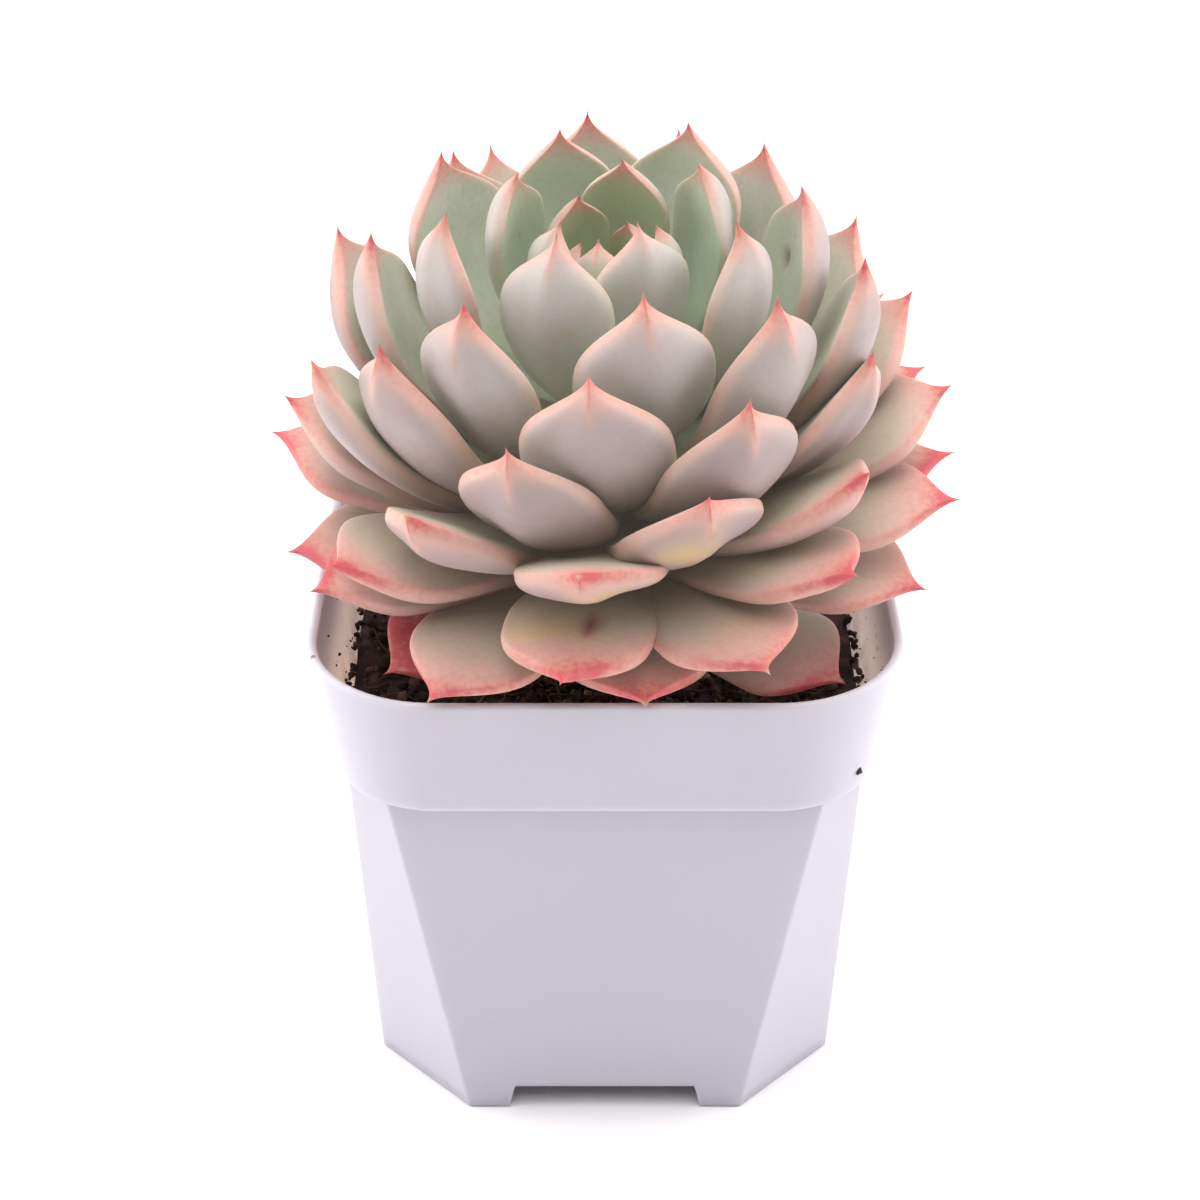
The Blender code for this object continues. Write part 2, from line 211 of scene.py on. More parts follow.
class NodeBench:
    """Places and links the nodes of one material or group."""

    def __init__(self, tree: bpy.types.NodeTree) -> None:
        """Start on a node tree.

        Args:
            tree: The tree that gets the nodes.
        """
        self.tree = tree

    def add(self, kind: str, **settings: object) -> bpy.types.Node:
        """A new node with its properties set.

        Args:
            kind: The node's type.
            settings: Properties of the node, by name.

        Returns:
            The node.
        """
        node = self.tree.nodes.new(kind)
        for name, value in settings.items():
            setattr(node, name, value)
        return node

    def join(self, source: bpy.types.NodeSocket, target: bpy.types.NodeSocket) -> None:
        """Link one socket to another."""
        self.tree.links.new(source, target)

    def field(self, name: str) -> bpy.types.NodeSocket:
        """The value of one of the piece's own per-point fields."""
        return self.add("ShaderNodeAttribute", attribute_name=name).outputs["Fac"]

    def place(self) -> bpy.types.NodeSocket:
        """The piece's own Object coordinates."""
        return self.add("ShaderNodeTexCoord").outputs["Object"]

    def noise(self, scale: float, detail: float) -> bpy.types.NodeSocket:
        """Fractal noise in 0 to 1 over the piece.

        Args:
            scale: Lumps in a metre.
            detail: Octaves of finer lumps.

        Returns:
            The noise value.
        """
        node = self.add("ShaderNodeTexNoise")
        node.inputs["Scale"].default_value = scale
        node.inputs["Detail"].default_value = detail
        self.join(self.place(), node.inputs["Vector"])
        return node.outputs["Fac"]

    def ramp(self, value: bpy.types.NodeSocket, low: float, high: float,
             out_low: float = 0.0, out_high: float = 1.0) -> bpy.types.NodeSocket:
        """Map low to high onto out_low to out_high, eased and clamped.

        Args:
            value: The value to map.
            low: Value that gives out_low.
            high: Value that gives out_high.
            out_low: Lowest result.
            out_high: Highest result.

        Returns:
            The mapped value.
        """
        node = self.add("ShaderNodeMapRange", interpolation_type="SMOOTHSTEP")
        limits = {"From Min": low, "From Max": high, "To Min": out_low, "To Max": out_high}
        for name, number in limits.items():
            node.inputs[name].default_value = number
        self.join(value, node.inputs["Value"])
        return node.outputs["Result"]

    def sums(self, operation: str, first: object, second: object) -> bpy.types.NodeSocket:
        """A Math node on two values, clamped to 0 to 1.

        Args:
            operation: The Math node's operation.
            first: Its first value, a socket or a number.
            second: Its second value, a socket or a number.

        Returns:
            The result.
        """
        node = self.add("ShaderNodeMath", operation=operation, use_clamp=True)
        for socket, value in zip(node.inputs, (first, second)):
            if isinstance(value, (int, float)):
                socket.default_value = value
            else:
                self.join(value, socket)
        return node.outputs["Value"]

    def blend(self, mask: bpy.types.NodeSocket, first: object, second: object) -> bpy.types.NodeSocket:
        """Mix two colours by a mask.

        Args:
            mask: Share of the second colour.
            first: A colour or a colour socket.
            second: A colour or a colour socket.

        Returns:
            The mixed colour.
        """
        node = self.add("ShaderNodeMix", data_type="RGBA")
        self.join(mask, node.inputs[0])
        for socket, value in ((node.inputs[6], first), (node.inputs[7], second)):
            if isinstance(value, tuple):
                socket.default_value = (*value, 1.0)
            else:
                self.join(value, socket)
        return node.outputs[2]


class SharedEffects:
    """Node groups that more than one finish uses. Each is built once."""

    def __init__(self) -> None:
        """Build the groups."""
        self.mottle = self._mottle()
        self.specks = self._specks()

    @staticmethod
    def _new(name: str, **inputs: float) -> tuple[NodeBench, bpy.types.Node, bpy.types.Node]:
        """An empty group with a Vector input, number inputs and a Mask and Height output.

        Args:
            name: The group's name.
            inputs: Default values of the number inputs, by name.

        Returns:
            A bench on the group, its input node and its output node.
        """
        tree = bpy.data.node_groups.new(name, "ShaderNodeTree")
        tree.interface.new_socket("Vector", in_out="INPUT", socket_type="NodeSocketVector")
        for title, value in inputs.items():
            socket = tree.interface.new_socket(title, in_out="INPUT", socket_type="NodeSocketFloat")
            socket.default_value = value
        tree.interface.new_socket("Mask", in_out="OUTPUT", socket_type="NodeSocketFloat")
        tree.interface.new_socket("Height", in_out="OUTPUT", socket_type="NodeSocketFloat")
        bench = NodeBench(tree)
        return bench, bench.add("NodeGroupInput"), bench.add("NodeGroupOutput")

    def _mottle(self) -> bpy.types.NodeTree:
        """Soft uneven cover: seven parts of coarse noise and three of noise six times finer.

        Returns:
            The group, whose Mask eases from 0 to 1 within Softness of the middle value.
        """
        bench, source, result = self._new("uneven_cover", Scale=100.0, Softness=0.2)
        coarse = bench.add("ShaderNodeTexNoise")
        coarse.inputs["Detail"].default_value = 4.0
        fine = bench.add("ShaderNodeTexNoise")
        fine.inputs["Detail"].default_value = 2.0
        finer_scale = bench.add("ShaderNodeMath", operation="MULTIPLY")
        finer_scale.inputs[1].default_value = 6.0
        bench.join(source.outputs["Scale"], coarse.inputs["Scale"])
        bench.join(source.outputs["Scale"], finer_scale.inputs[0])
        bench.join(finer_scale.outputs[0], fine.inputs["Scale"])
        for node in (coarse, fine):
            bench.join(source.outputs["Vector"], node.inputs["Vector"])
        mixed = bench.add("ShaderNodeMix", data_type="FLOAT")
        mixed.inputs[0].default_value = 0.3
        bench.join(coarse.outputs["Fac"], mixed.inputs[2])
        bench.join(fine.outputs["Fac"], mixed.inputs[3])
        low = bench.add("ShaderNodeMath", operation="SUBTRACT")
        low.inputs[0].default_value = 0.5
        high = bench.add("ShaderNodeMath", operation="ADD")
        high.inputs[0].default_value = 0.5
        spread = bench.add("ShaderNodeMapRange", interpolation_type="SMOOTHSTEP")
        for node, target in ((low, "From Min"), (high, "From Max")):
            bench.join(source.outputs["Softness"], node.inputs[1])
            bench.join(node.outputs[0], spread.inputs[target])
        bench.join(mixed.outputs[0], spread.inputs["Value"])
        bench.join(spread.outputs["Result"], result.inputs["Mask"])
        bench.join(mixed.outputs[0], result.inputs["Height"])
        return bench.tree

    def _specks(self) -> bpy.types.NodeTree:
        """Scattered small dots: the middles of the Voronoi cells whose own random value is low.

        Returns:
            The group, whose Amount is the share of cells that hold a dot and Size the dot's reach.
        """
        bench, source, result = self._new("small_specks", Scale=600.0, Amount=0.1, Size=0.3)
        cells = bench.add("ShaderNodeTexVoronoi")
        bench.join(source.outputs["Vector"], cells.inputs["Vector"])
        bench.join(source.outputs["Scale"], cells.inputs["Scale"])
        parted = bench.add("ShaderNodeSeparateColor")
        bench.join(cells.outputs["Color"], parted.inputs[0])
        chosen = bench.add("ShaderNodeMath", operation="LESS_THAN")
        bench.join(parted.outputs[0], chosen.inputs[0])
        bench.join(source.outputs["Amount"], chosen.inputs[1])
        near = bench.add("ShaderNodeMath", operation="LESS_THAN")
        bench.join(cells.outputs["Distance"], near.inputs[0])
        bench.join(source.outputs["Size"], near.inputs[1])
        both = bench.sums("MULTIPLY", chosen.outputs[0], near.outputs[0])
        bench.join(both, result.inputs["Mask"])
        bench.join(both, result.inputs["Height"])
        return bench.tree

    @staticmethod
    def use(bench: NodeBench, group: bpy.types.NodeTree, **values: float) -> bpy.types.Node:
        """Place a shared group on Object coordinates, with its numbers set.

        Args:
            bench: The material's bench.
            group: The shared group.
            values: The group's numbers, by name.

        Returns:
            The group's node.
        """
        node = bench.add("ShaderNodeGroup", node_tree=group)
        bench.join(bench.place(), node.inputs["Vector"])
        for name, value in values.items():
            node.inputs[name].default_value = value
        return node


def new_material(name: str) -> tuple[bpy.types.Material, NodeBench, bpy.types.Node]:
    """A material with a Principled shader.

    Args:
        name: The material's name.

    Returns:
        The material, a bench on its nodes, and the shader.
    """
    material = bpy.data.materials.new(name)
    material.use_nodes = True
    return material, NodeBench(material.node_tree), material.node_tree.nodes["Principled BSDF"]


def add_bump(bench: NodeBench, shader: bpy.types.Node, height: bpy.types.NodeSocket,
             distance: float, strength: float = 1.0) -> None:
    """Feed a height through a Bump node into the shader's normal.

    Args:
        bench: The material's bench.
        shader: Its shader.
        height: The height in 0 to 1.
        distance: What a height of 1 stands for, in metres.
        strength: Share of the bump that shows.
    """
    bump = bench.add("ShaderNodeBump")
    bump.inputs["Distance"].default_value = distance
    bump.inputs["Strength"].default_value = strength
    bench.join(height, bump.inputs["Height"])
    bench.join(bump.outputs["Normal"], shader.inputs["Normal"])


# --------------------------------------------------------------------------- finishes

class LeafZone(Enum):
    """Where on the spiral a leaf grows, which decides its skin and which imported node it replaces."""

    HEART = "heart_leaf"
    ROSETTE = "leaf"
    OLDEST = "old_leaf"


@dataclass(frozen=True)
class LeafSkin:
    """Waxy leaf skin under a powdery bloom, green when young, flushed coral at margins and tips."""

    zone: LeafZone
    upper_young: Colour = (0.42, 0.52, 0.33)
    upper_old: Colour = (0.50, 0.42, 0.30)
    under_young: Colour = (0.47, 0.46, 0.41)
    under_old: Colour = (0.31, 0.22, 0.21)
    bloom_upper: Colour = (0.60, 0.66, 0.56)
    bloom_upper_old: Colour = (0.57, 0.50, 0.40)
    bloom_under: Colour = (0.50, 0.44, 0.44)
    bloom_under_old: Colour = (0.35, 0.25, 0.26)
    first_flush: Colour = (0.58, 0.37, 0.31)
    flush: Colour = (0.57, 0.24, 0.19)
    deep_flush: Colour = (0.52, 0.085, 0.10)
    ochre: Colour = (0.62, 0.45, 0.16)
    callus: Colour = (0.42, 0.27, 0.17)
    thorn: Colour = (0.30, 0.09, 0.09)
    shade: Colour = (0.32, 0.33, 0.26)
    stipple_tint: Colour = (0.30, 0.22, 0.22)
    translucency: float = 0.25
    flesh_reach: Colour = (1.0, 0.60, 0.42)
    flesh_depth: float = 0.0025
    # Strength of the painted glow: the leaf emits its own skin colour and so lights itself a little.
    painted_glow: float = 0.045
    gloss: float = 0.42
    relief: float = 0.00012
    relief_strength: float = 0.6

    def build(self, effects: SharedEffects) -> bpy.types.Material:
        """Make the material.

        Args:
            effects: The shared node groups.

        Returns:
            The finished material.
        """
        material, bench, shader = new_material(f"leaf_skin_{self.zone.name.lower()}")
        under, age = bench.field("under"), bench.ramp(bench.field("age"), 0.05, 0.80)
        powder = effects.use(bench, effects.mottle, Scale=95.0, Softness=0.30)
        patches = effects.use(bench, effects.mottle, Scale=260.0, Softness=0.20)
        dots = effects.use(bench, effects.specks, Scale=520.0, Amount=0.02, Size=0.22)
        upper = bench.blend(age, self.upper_young, self.upper_old)
        skin = bench.blend(under, upper, bench.blend(age, self.under_young, self.under_old))
        bloom_above = bench.blend(age, self.bloom_upper, self.bloom_upper_old)
        aged_early = bench.ramp(bench.field("age"), 0.10, 0.42)
        bloom_below = bench.blend(aged_early, self.bloom_under, self.bloom_under_old)
        bloom = bench.blend(under, bloom_above, bloom_below)
        uneven = bench.ramp(powder.outputs["Mask"], 0.0, 1.0, 0.35, 0.90)
        skin = bench.blend(bench.sums("MULTIPLY", uneven, bench.field("powder")), skin, bloom)
        skin = bench.blend(bench.ramp(patches.outputs["Mask"], 0.0, 1.0, 0.0, 0.12), skin, self.shade)
        skin = bench.blend(bench.field("ochre"), skin, self.ochre)
        stipple = bench.noise(1500.0, 2.0)
        broken = bench.sums("MULTIPLY", bench.ramp(powder.outputs["Height"], 0.30, 0.65, 0.62, 1.05),
                            bench.ramp(stipple, 0.35, 0.65, 0.82, 1.0))
        warm = bench.sums("MULTIPLY", bench.field("blush"), broken)
        skin = bench.blend(bench.ramp(warm, 0.02, 0.32), skin, self.first_flush)
        skin = bench.blend(bench.ramp(warm, 0.16, 0.70), skin, self.flush)
        skin = bench.blend(bench.ramp(warm, 0.50, 0.95), skin, self.deep_flush)
        skin = bench.blend(bench.ramp(stipple, 0.42, 0.70, 0.0, 0.10), skin, self.stipple_tint)
        skin = bench.blend(bench.field("callus"), skin, self.callus)
        skin = bench.blend(bench.sums("MULTIPLY", dots.outputs["Mask"], 0.35), skin, self.callus)
        skin = bench.blend(bench.field("thorn"), skin, self.thorn)
        bench.join(skin, shader.inputs["Base Color"])
        # Painted glow: the skin colour is also emitted, so each leaf shines a little though it is no
        # lamp.
        bench.join(skin, shader.inputs["Emission Color"])
        shader.inputs["Emission Strength"].default_value = self.painted_glow
        bench.join(bench.ramp(powder.outputs["Mask"], 0.0, 1.0, 0.44, 0.58), shader.inputs["Roughness"])
        shader.inputs["Subsurface Weight"].default_value = self.translucency
        shader.inputs["Subsurface Radius"].default_value = self.flesh_reach
        shader.inputs["Subsurface Scale"].default_value = self.flesh_depth
        shader.inputs["Specular IOR Level"].default_value = self.gloss
        grain = bench.sums("MULTIPLY", bench.noise(900.0, 3.0), 0.35)
        pits = bench.sums("MULTIPLY", patches.outputs["Height"], 0.6)
        add_bump(bench, shader, bench.sums("ADD", grain, pits), self.relief, self.relief_strength)
        return material


@dataclass(frozen=True)
class PotPlastic:
    """White injection-moulded plastic, lightly scuffed outside; inside, above the mix, a beige stain that
    is partly painted light, and a painted glow.
    """

    body: Colour = (0.525, 0.508, 0.558)
    # Beige stain of the inner wall, made lighter than the body colour as painted light.
    stain_and_painted_light: Colour = (0.84, 0.66, 0.54)
    dirt: Colour = (0.15, 0.09, 0.06)
    scuff: Colour = (0.40, 0.38, 0.38)
    # Strength of the painted glow on the inner wall, which stands in for light passing through the thin
    # plastic.
    painted_inner_glow: float = 0.42
    gloss: float = 0.45
    milkiness: float = 0.5
    milk_reach: Colour = (1.0, 0.92, 0.85)
    milk_depth: float = 0.003
    ripple: float = 0.00008
    ripple_strength: float = 0.25

    def build(self, effects: SharedEffects) -> bpy.types.Material:
        """Make the material.

        Args:
            effects: The shared node groups.

        Returns:
            The finished material.
        """
        material, bench, shader = new_material("pot_plastic_white")
        inside = bench.field("inside")
        cloud = bench.noise(60.0, 2.0)
        streaks = effects.use(bench, effects.mottle, Scale=240.0, Softness=0.10)
        dots = effects.use(bench, effects.specks, Scale=950.0, Amount=0.05, Size=0.30)
        scuffs = effects.use(bench, effects.specks, Scale=200.0, Amount=0.03, Size=0.16)
        # Real beige stain and painted light at once: the inner wall turns lighter than the outside, more
        # so below the rim.
        stain_and_painted_light_mask = bench.sums("MULTIPLY", inside, bench.ramp(cloud, 0.3, 0.7, 0.45, 1.0))
        skin = bench.blend(stain_and_painted_light_mask, self.body, self.stain_and_painted_light)
        caked = bench.sums("MULTIPLY", bench.field("caked"), streaks.outputs["Mask"])
        skin = bench.blend(caked, skin, self.dirt)
        dust = bench.sums("MULTIPLY", dots.outputs["Mask"], bench.field("dusty"))
        skin = bench.blend(dust, skin, self.dirt)
        rubbed = bench.sums("MULTIPLY", scuffs.outputs["Mask"], streaks.outputs["Mask"])
        skin = bench.blend(bench.sums("MULTIPLY", rubbed, 0.35), skin, self.scuff)
        bench.join(skin, shader.inputs["Base Color"])
        # Painted glow: only the inner wall emits its own colour, standing in for light through the thin
        # wall.
        bench.join(bench.blend(inside, (0.0, 0.0, 0.0), skin), shader.inputs["Emission Color"])
        shader.inputs["Emission Strength"].default_value = self.painted_inner_glow
        outside_rough = bench.ramp(cloud, 0.3, 0.7, 0.30, 0.36)
        rough = bench.sums("ADD", outside_rough, bench.sums("MULTIPLY", inside, 0.3))
        bench.join(rough, shader.inputs["Roughness"])
        shader.inputs["Specular IOR Level"].default_value = self.gloss
        shader.inputs["Subsurface Weight"].default_value = self.milkiness
        shader.inputs["Subsurface Radius"].default_value = self.milk_reach
        shader.inputs["Subsurface Scale"].default_value = self.milk_depth
        add_bump(bench, shader, bench.noise(150.0, 2.0), self.ripple, self.ripple_strength)
        return material


@dataclass(frozen=True)
class EarthFinish:
    """Dark fibrous potting mix: crumbs and fibres that differ in tone."""

    name: str
    dark: Colour = (0.024, 0.013, 0.010)
    light: Colour = (0.15, 0.078, 0.052)
    pale: Colour = (0.36, 0.26, 0.17)
    roughness: float = 0.86
    relief: float = 0.0005
    relief_strength: float = 0.8

    def build(self, effects: SharedEffects) -> bpy.types.Material:
        """Make the material.

        Args:
            effects: The shared node groups.

        Returns:
            The finished material.
        """
        material, bench, shader = new_material(self.name)
        lumps = effects.use(bench, effects.mottle, Scale=420.0, Softness=0.2)
        tone = bench.field("tone")
        skin = bench.blend(bench.ramp(tone, 0.15, 0.85), self.dark, self.light)
        skin = bench.blend(bench.ramp(tone, 0.86, 0.97), skin, self.pale)
        skin = bench.blend(bench.sums("MULTIPLY", lumps.outputs["Mask"], 0.5), skin, self.dark)
        bench.join(skin, shader.inputs["Base Color"])
        shader.inputs["Roughness"].default_value = self.roughness
        add_bump(bench, shader, lumps.outputs["Height"], self.relief, self.relief_strength)
        return material


@dataclass(frozen=True)
class StemBark:
    """Green-brown stem with the scars of fallen leaves."""

    green: Colour = (0.24, 0.25, 0.14)
    brown: Colour = (0.22, 0.13, 0.08)
    roughness: float = 0.7
    relief: float = 0.0004

    def build(self, effects: SharedEffects) -> bpy.types.Material:
        """Make the material.

        Args:
            effects: The shared node groups.

        Returns:
            The finished material.
        """
        material, bench, shader = new_material("stem_bark")
        cover = effects.use(bench, effects.mottle, Scale=300.0, Softness=0.2)
        skin = bench.blend(cover.outputs["Mask"], self.green, self.brown)
        bench.join(skin, shader.inputs["Base Color"])
        shader.inputs["Roughness"].default_value = self.roughness
        add_bump(bench, shader, cover.outputs["Height"], self.relief)
        return material


# --------------------------------------------------------------------------- rosette

@dataclass(frozen=True)
class RosetteForm:
    """The spiral's driving sizes, in metres and degrees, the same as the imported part's.

    The leaf tables hold one value for each leaf of spiral_leaves. A row of habits is a leaf, what
    its turn adds in degrees, and what its reach and its tip's height add in millimetres. The leaves
    here are a little fleshier and more arched than the part's plain solids.
    """

    leaf_count: int = 73
    heart_leaves: int = 9
    lowest_leaves: int = 8
    first_turn: float = 178.5
    leaf_turn: float = 136.88
    stem_x: float = 0.0017
    pivot_z: float = 0.052
    lean_forward: float = 7.8
    lean_side: float = -1.8
    spiral_leaves: tuple[float, ...] = (0, 8, 16, 26, 38, 50, 62, 72)
    tip_reach: tuple[float, ...] = (0.0010, 0.0073, 0.0190, 0.0283, 0.0359, 0.0407, 0.0415, 0.0345)
    tip_height: tuple[float, ...] = (0.1075, 0.1165, 0.1160, 0.1102, 0.0996, 0.0852, 0.0738, 0.0648)
    leaf_width: tuple[float, ...] = (0.0034, 0.0102, 0.0146, 0.0162, 0.0158, 0.0162, 0.0164, 0.0156)
    leaf_thickness: tuple[float, ...] = (0.0012, 0.0026, 0.0037, 0.0043, 0.0042, 0.0040, 0.0037, 0.0032)
    bulge: tuple[float, ...] = (0.08, 0.16, 0.21, 0.20, 0.11, -0.02, -0.10, -0.09)
    cup: tuple[float, ...] = (0.22, 0.22, 0.18, 0.12, 0.04, -0.05, -0.06, -0.04)
    base_top_z: float = 0.0965
    base_bottom_z: float = 0.0575
    stem_bottom_z: float = 0.045
    stem_top_z: float = 0.0912
    stem_bottom_radius: float = 0.0050
    stem_top_radius: float = 0.0034
    base_sunk: float = 0.0009
    prop_lift: float = 0.0070
    prop_turn: float = 115.0
    prop_first_leaf: int = 40
    prop_full_leaf: int = 57
    habits: tuple[tuple[int, float, float, float], ...] = (
        (6, 0, 0.5, -2), (7, 0, -1, -1.5), (12, 3, 0, 1.5), (15, 4, 0, 1.5), (18, 0, 1.5, -0.5),
        (24, 2, 0, 0), (29, -6, 0, 0.5), (30, -3, 0, 0), (31, 0, 0, 2), (32, -2, 0.5, -1.5),
        (34, 0, 0, 2.5), (35, -3, -2, 1), (36, 0, 0, 2), (39, 0, 1.5, 0), (41, -2, 0, -1),
        (43, -2, -1.5, 0), (44, 0, -1, 0.5), (45, 0, 0, 1.5), (46, -7, 0, 3.5), (48, 2, 0, -1),
        (49, -2, 0, -1.5), (51, 3, 0, 0.5), (52, 0, 1, -2.5), (53, 0, 0, 0.5), (54, 5, 0, -1),
        (56, 0, 0, -2.5), (57, 3, -2, -2), (59, 1, 0, 2), (61, 2, 0, 0.5), (62, -2, 0, -0.5),
        (63, 0, 0, 1), (64, 5, 0, -3), (65, 0, 0, 2), (66, 0, 0, -1), (67, -2, -2, 3),
        (69, -2, 4.5, 5), (70, -5, 0, 1), (71, 0, 0, -2), (72, 8, 0, -5.5),
    )

    def along_spiral(self, values: tuple[float, ...], leaf: int) -> float:
        """A cubic Hermite curve through values given at spiral_leaves, read at one leaf.

        Args:
            values: One value for each leaf of spiral_leaves.
            leaf: The leaf's number on the spiral.

        Returns:
            The curve's value at the leaf.
        """
        knots, heights = np.array(self.spiral_leaves, float), np.array(values, float)
        slopes = np.gradient(heights, knots)
        i = int(np.clip(np.searchsorted(knots, leaf, side="right") - 1, 0, len(knots) - 2))
        span = knots[i + 1] - knots[i]
        t = (leaf - knots[i]) / span
        start = heights[i] * (1 + 2 * t) * (1 - t) ** 2 + slopes[i] * span * t * (1 - t) ** 2
        end = heights[i + 1] * (3 - 2 * t) * t ** 2 + slopes[i + 1] * span * t ** 2 * (t - 1)
        return float(start + end)

    def zone(self, leaf: int) -> LeafZone:
        """The zone that a leaf of the spiral grows in.

        Args:
            leaf: The leaf's number on the spiral.

        Returns:
            Its zone.
        """
        if leaf < self.heart_leaves:
            return LeafZone.HEART
        return LeafZone.OLDEST if leaf >= self.leaf_count - self.lowest_leaves else LeafZone.ROSETTE

    def stance(self, leaf: int) -> tuple[float, Array]:
        """Where a leaf points: its own habit and the wall that props it are added to the spiral.

        Args:
            leaf: The leaf's number on the spiral.

        Returns:
            Its turn about the stem in radians, and its tip as reach and height.
        """
        own = {row[0]: row[1:] for row in self.habits}.get(leaf, (0, 0, 0))
        turn = math.radians(self.first_turn - self.leaf_turn * leaf + own[0])
        prop_leaves = self.prop_full_leaf - self.prop_first_leaf
        aged = float(np.clip((leaf - self.prop_first_leaf) / prop_leaves, 0, 1))
        prop = self.prop_lift * aged * max(0.0, math.cos(turn - math.radians(self.prop_turn)))
        reach = self.along_spiral(self.tip_reach, leaf) + own[1] * MM
        return turn, np.array([reach, self.along_spiral(self.tip_height, leaf) + own[2] * MM + prop])

    def stem_radius(self, z: float) -> float:
        """The stem's radius at a height before it leans."""
        share = (z - self.stem_bottom_z) / (self.stem_top_z - self.stem_bottom_z)
        return self.stem_bottom_radius + share * (self.stem_top_radius - self.stem_bottom_radius)

    def base(self, leaf: int) -> Array:
        """Where a leaf joins the stem, as reach and height."""
        z = self.base_top_z - (self.base_top_z - self.base_bottom_z) * leaf / (self.leaf_count - 1)
        return np.array([self.stem_radius(z) - self.base_sunk, z])

    def lean(self, points: Array) -> Array:
        """Turn points about X, then about Y, round the point where the stem leaves the mix.

        Args:
            points: Points of the upright plant, one row each.

        Returns:
            The same points on the leaning plant.
        """
        a, b = math.radians(self.lean_forward), math.radians(self.lean_side)
        about_x = np.array([[1, 0, 0], [0, math.cos(a), -math.sin(a)], [0, math.sin(a), math.cos(a)]])
        about_y = np.array([[math.cos(b), 0, math.sin(b)], [0, 1, 0], [-math.sin(b), 0, math.cos(b)]])
        pivot = np.array([0.0, 0.0, self.pivot_z])
        return (points - pivot) @ (about_x @ about_y).T + pivot + np.array([self.stem_x, 0.0, 0.0])


class MarkKind(Enum):
    """What happened to the leaf. Each value is how deep it sinks, in millimetres."""

    HOLE = 0.7
    GASH = 0.5
    SPOT = 0.12
    OCHRE = 0.0


@dataclass(frozen=True)
class LeafMark:
    """A spot or patch on one leaf, at a share along it and across it, with its size in millimetres."""

    leaf: int
    kind: MarkKind
    along: float
    across: float
    length: float
    width: float
    upper: bool = False
    strength: float = 1.0


